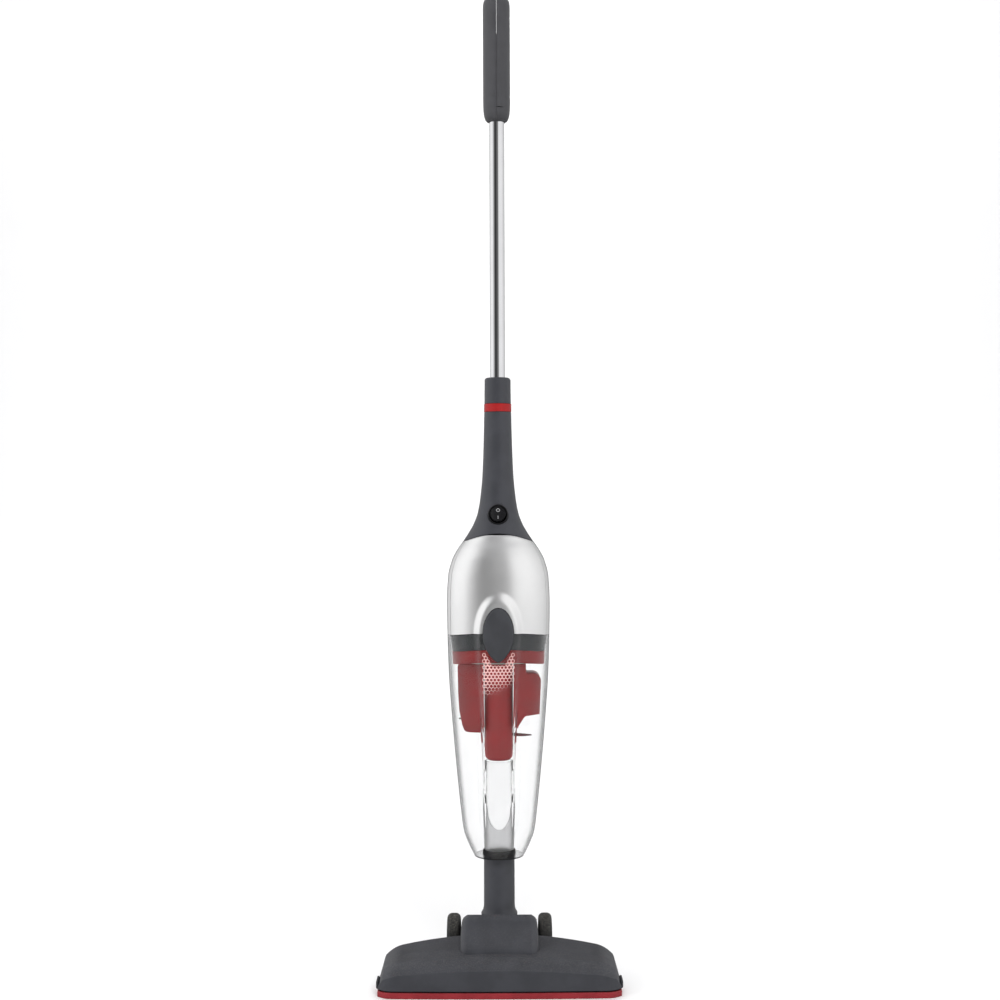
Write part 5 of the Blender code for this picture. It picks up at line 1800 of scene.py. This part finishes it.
@dataclass
class Handle:
    """Chrome tube with its two-part grip and the hooks for the cord."""

    body: str = "handle"
    radius: float = 8.5

    def grip_rows(self) -> list[list[Vector]]:
        """Rings of the whole grip, before it is split."""
        levels = ((981.5, 0.70), (982.2, 0.77), (984.0, 0.85), (986.5, 0.91), (990.0, 0.955),
                  (995.0, 0.985), (1001.0, 1.0), (1040.0, 1.0), (1080.0, 1.0), (1110.0, 1.0),
                  (1114.0, 0.99), (1117.0, 0.965), (1119.2, 0.92), (1120.4, 0.85), (1121.0, 0.74))
        rows = []
        for z, scale in levels:
            ring = []
            for turn in (at + math.pi / 96 for at in circle(96)):
                x, y = 15.4 * scale * math.cos(turn), 17.0 * scale * math.sin(turn)
                if y < 0:
                    y -= 1.6 * scale * max(0.0, 1 - abs(x) / (9.0 * scale)) ** 1.3
                ring.append(Vector((x, y, z)) * MM)
            rows.append(ring)
        return rows

    def build_grip(self) -> None:
        """Make the two halves of the grip with their screws."""
        for side, name in ((-1, "left"), (1, "right")):
            half = grid(f"grip_shell_{name}", self.grip_rows(), wrap_columns=True, caps=True)
            low, high = sorted((-side * 30.0, side * 0.15))
            cuts = [cutter((low, -40, 970), (high, 40, 1130)),
                    drill(self.radius + 0.3, (0, 0, 970), 110.4)]
            if side > 0:
                cuts += [drill(2.9, (12.2, 0, z), 20.0, "X") for z in (1010, 1100)]
                cuts += [cutter((-1.0, -30, 994.4), (16.0, -14.6, 995.2))]
            boolean(half, cuts, "DIFFERENCE")
            place(half, self.body, "dark_grip", f"grip_{name}")
        screws("grip_screws", [(13.2, 0, z) for z in (1010, 1100)], (0, math.pi / 2, 0),
               self.body, 2.6)

    def build(self) -> None:
        """Make the tube, the grip and both hooks."""
        r = self.radius
        pipe = turned("chrome_tube", ((r, 1080.0), (r, 596.5), (r - 1, 596.5), (r - 1, 1080.0)),
                      edge=0.3, sides=128)
        place(pipe, self.body, "chrome", "handle_tube")
        self.build_grip()
        arm = rounded_block("upper_hook_arm", (-5, 17.4, 1020), (5, 40, 1025), 1.2)
        pad = rounded_block("pad", (-6, 17.4, 1014), (6, 20.4, 1034), 1.0)
        tip = rounded_block("tip", (-5, 36, 1021), (5, 40, 1040), 1.4)
        place(boolean(arm, [pad, tip], "UNION"), self.body, "dark_grip", "upper_cord_hook")
        profile = ((8.0, 4.3), (8.0, 0.3), (2.7, 0.3), (2.7, 4.3))
        disc = turned("cord_hook_arm", profile, (0, 16.9 * MM, 604 * MM), "Y", 0.8, 72)
        arm = rounded_block("arm", (-5, 19.9, 598), (5, 42, 602.5), 1.2)
        tip = rounded_block("tip", (-5, 38, 583), (5, 42, 602), 1.4)
        boolean(disc, [arm, tip], "UNION")
        boolean(disc, [drill(2.7, (0, 10, 604), 24.0, "Y")], "DIFFERENCE")
        place(disc, "cord_hook", "dark_grip", "cord_hook")


# ----------------------------------------------------------------------- studio

@dataclass
class Studio:
    """Camera, pale surroundings and soft lights."""

    distance: float = 1.8
    eye: float = 0.5494
    lens: float = 56.69
    roll: float = math.radians(0.2)
    sweep: tuple[Point2, ...] = (
        (-180.0, 0.06), (-166.0, 0.1), (-154.0, 0.6), (-126.0, 0.85), (-114.0, 1.05), (-72.0, 1.05),
        (-60.0, 0.6), (-44.0, 0.3), (-36.0, 0.05), (-14.0, 0.05), (-4.0, 0.14), (14.0, 0.18),
        (28.0, 0.95), (70.0, 1.0), (100.0, 0.85), (126.0, 0.7), (154.0, 0.5), (166.0, 0.1),
        (180.0, 0.06))

    def set_camera(self) -> None:
        """Place the camera in front of the machine, level with its middle."""
        lens = bpy.data.cameras.new("front_camera")
        lens.lens, lens.sensor_width = self.lens, 36.0
        camera = bpy.data.objects.new("front_camera", lens)
        camera.location = (0.0023, -self.distance, self.eye)
        camera.rotation_euler = (math.pi / 2, self.roll, 0.0)
        bpy.context.scene.collection.objects.link(camera)
        bpy.context.scene.camera = camera
        bpy.context.scene.view_settings.view_transform = "Standard"

    def set_world(self) -> None:
        """Surround the machine with pale and dark uprights, seen only in reflections."""
        world = bpy.data.worlds.new("studio")
        world.use_nodes = True
        bpy.context.scene.world = world
        n = Nodes(world.node_tree)
        out = world.node_tree.nodes["Background"]
        direction = n.add("ShaderNodeSeparateXYZ")
        n.link(n.add("ShaderNodeTexCoord").outputs["Generated"], direction.inputs[0])
        x, y, z = direction.outputs
        azimuth = n.math("ARCTAN2", x, n.math("MULTIPLY", y, -1.0))
        share = n.math("ADD", n.math("DIVIDE", azimuth, FULL_TURN), 0.5)
        ramp = n.add("ShaderNodeValToRGB")
        elements = ramp.color_ramp.elements
        while len(elements) > 1:
            elements.remove(elements[-1])
        for index, (angle, value) in enumerate(self.sweep):
            stop = elements[0] if index == 0 else elements.new((angle + 180) / 360)
            stop.position = (angle + 180) / 360
            stop.color = (value, value, value, 1.0)
        n.link(share, ramp.inputs[0])
        overhead = n.mix(n.ramp(z, 0.75, 1.0), ramp.outputs[0], (0.35, 0.35, 0.36))
        mirrored = n.mix(n.ramp(z, -0.05, -0.4), overhead, (0.3, 0.3, 0.3))
        path = n.add("ShaderNodeLightPath").outputs
        plain = n.mix(path["Is Glossy Ray"], (0.56, 0.56, 0.565), mirrored)
        seen = n.math("MAXIMUM", path["Is Camera Ray"], path["Is Transmission Ray"])
        n.link(n.mix(seen, plain, (1.0, 1.0, 1.0)), out.inputs["Color"])

    def add_light(self, name: str, place_at: Sequence[float], size: Point2, power: float,
                  target: Sequence[float] = (0.0, 0.0, 0.5)) -> None:
        """Add a soft rectangular light aimed at a point.

        Args:
            name: The light's name.
            place_at: Where it stands.
            size: Its width and height.
            power: Its power in watts.
            target: What it faces.
        """
        light = bpy.data.lights.new(name, "AREA")
        light.shape = "RECTANGLE"
        light.size, light.size_y, light.energy = *size, power
        lamp = bpy.data.objects.new(name, light)
        lamp.location = place_at
        lamp.visible_glossy = False
        lamp.visible_transmission = False
        aim = Vector(target) - Vector(place_at)
        lamp.rotation_euler = aim.to_track_quat("-Z", "Y").to_euler()
        bpy.context.scene.collection.objects.link(lamp)

    def add_floor(self) -> None:
        """Make the pale floor that sweeps up behind."""
        bend, back = 1.6, 2.2
        profile = [(-14.0, 0.0)]
        profile += [(back + bend * math.sin(a), bend - bend * math.cos(a))
                    for a in spread(0.0, math.pi / 2, 16)] + [(back + bend, 6.0)]
        floor = grid("pale_floor", [[Vector((x, y, z)) for x in (12.0, -12.0)] for y, z in profile])
        paint = bpy.data.materials.new("pale_floor")
        paint.use_nodes = True
        shader = paint.node_tree.nodes["Principled BSDF"]
        shader.inputs["Base Color"].default_value = (0.94, 0.94, 0.94, 1.0)
        shader.inputs["Roughness"].default_value = 0.9
        floor.data.materials.append(paint)
        floor.visible_glossy = False

    def build(self) -> None:
        """Set everything round the machine."""
        self.set_camera()
        self.set_world()
        self.add_floor()
        self.add_light("left_softbox", (-1.6, -1.2, 1.0), (0.8, 1.8), 11.0)
        self.add_light("front_softbox", (0.3, -2.6, 2.5), (2.0, 1.4), 54.0, (0.0, 0.0, 0.3))
        self.add_light("rear_softbox", (0.0, 1.9, 3.4), (4.0, 1.5), 60.0, (0.0, 2.4, 0.0))


def main() -> None:
    """Build the machine and its studio, and log the pieces that each part makes."""
    logging.basicConfig(level=logging.INFO, format="%(name)s: %(message)s")
    Studio().build()
    parts = (FloorHead(), Wheel(-1), Wheel(1), Neck(), DustCup(), Separator(), MotorUnit(),
             Controls(), Handle())
    for part in parts:
        before = set(bpy.data.objects)
        part.build()
        made = sorted(o.name for o in set(bpy.data.objects) - before)
        LOG.info("%s: %s", type(part).__name__, ", ".join(made))


if __name__ == "__main__":
    main()
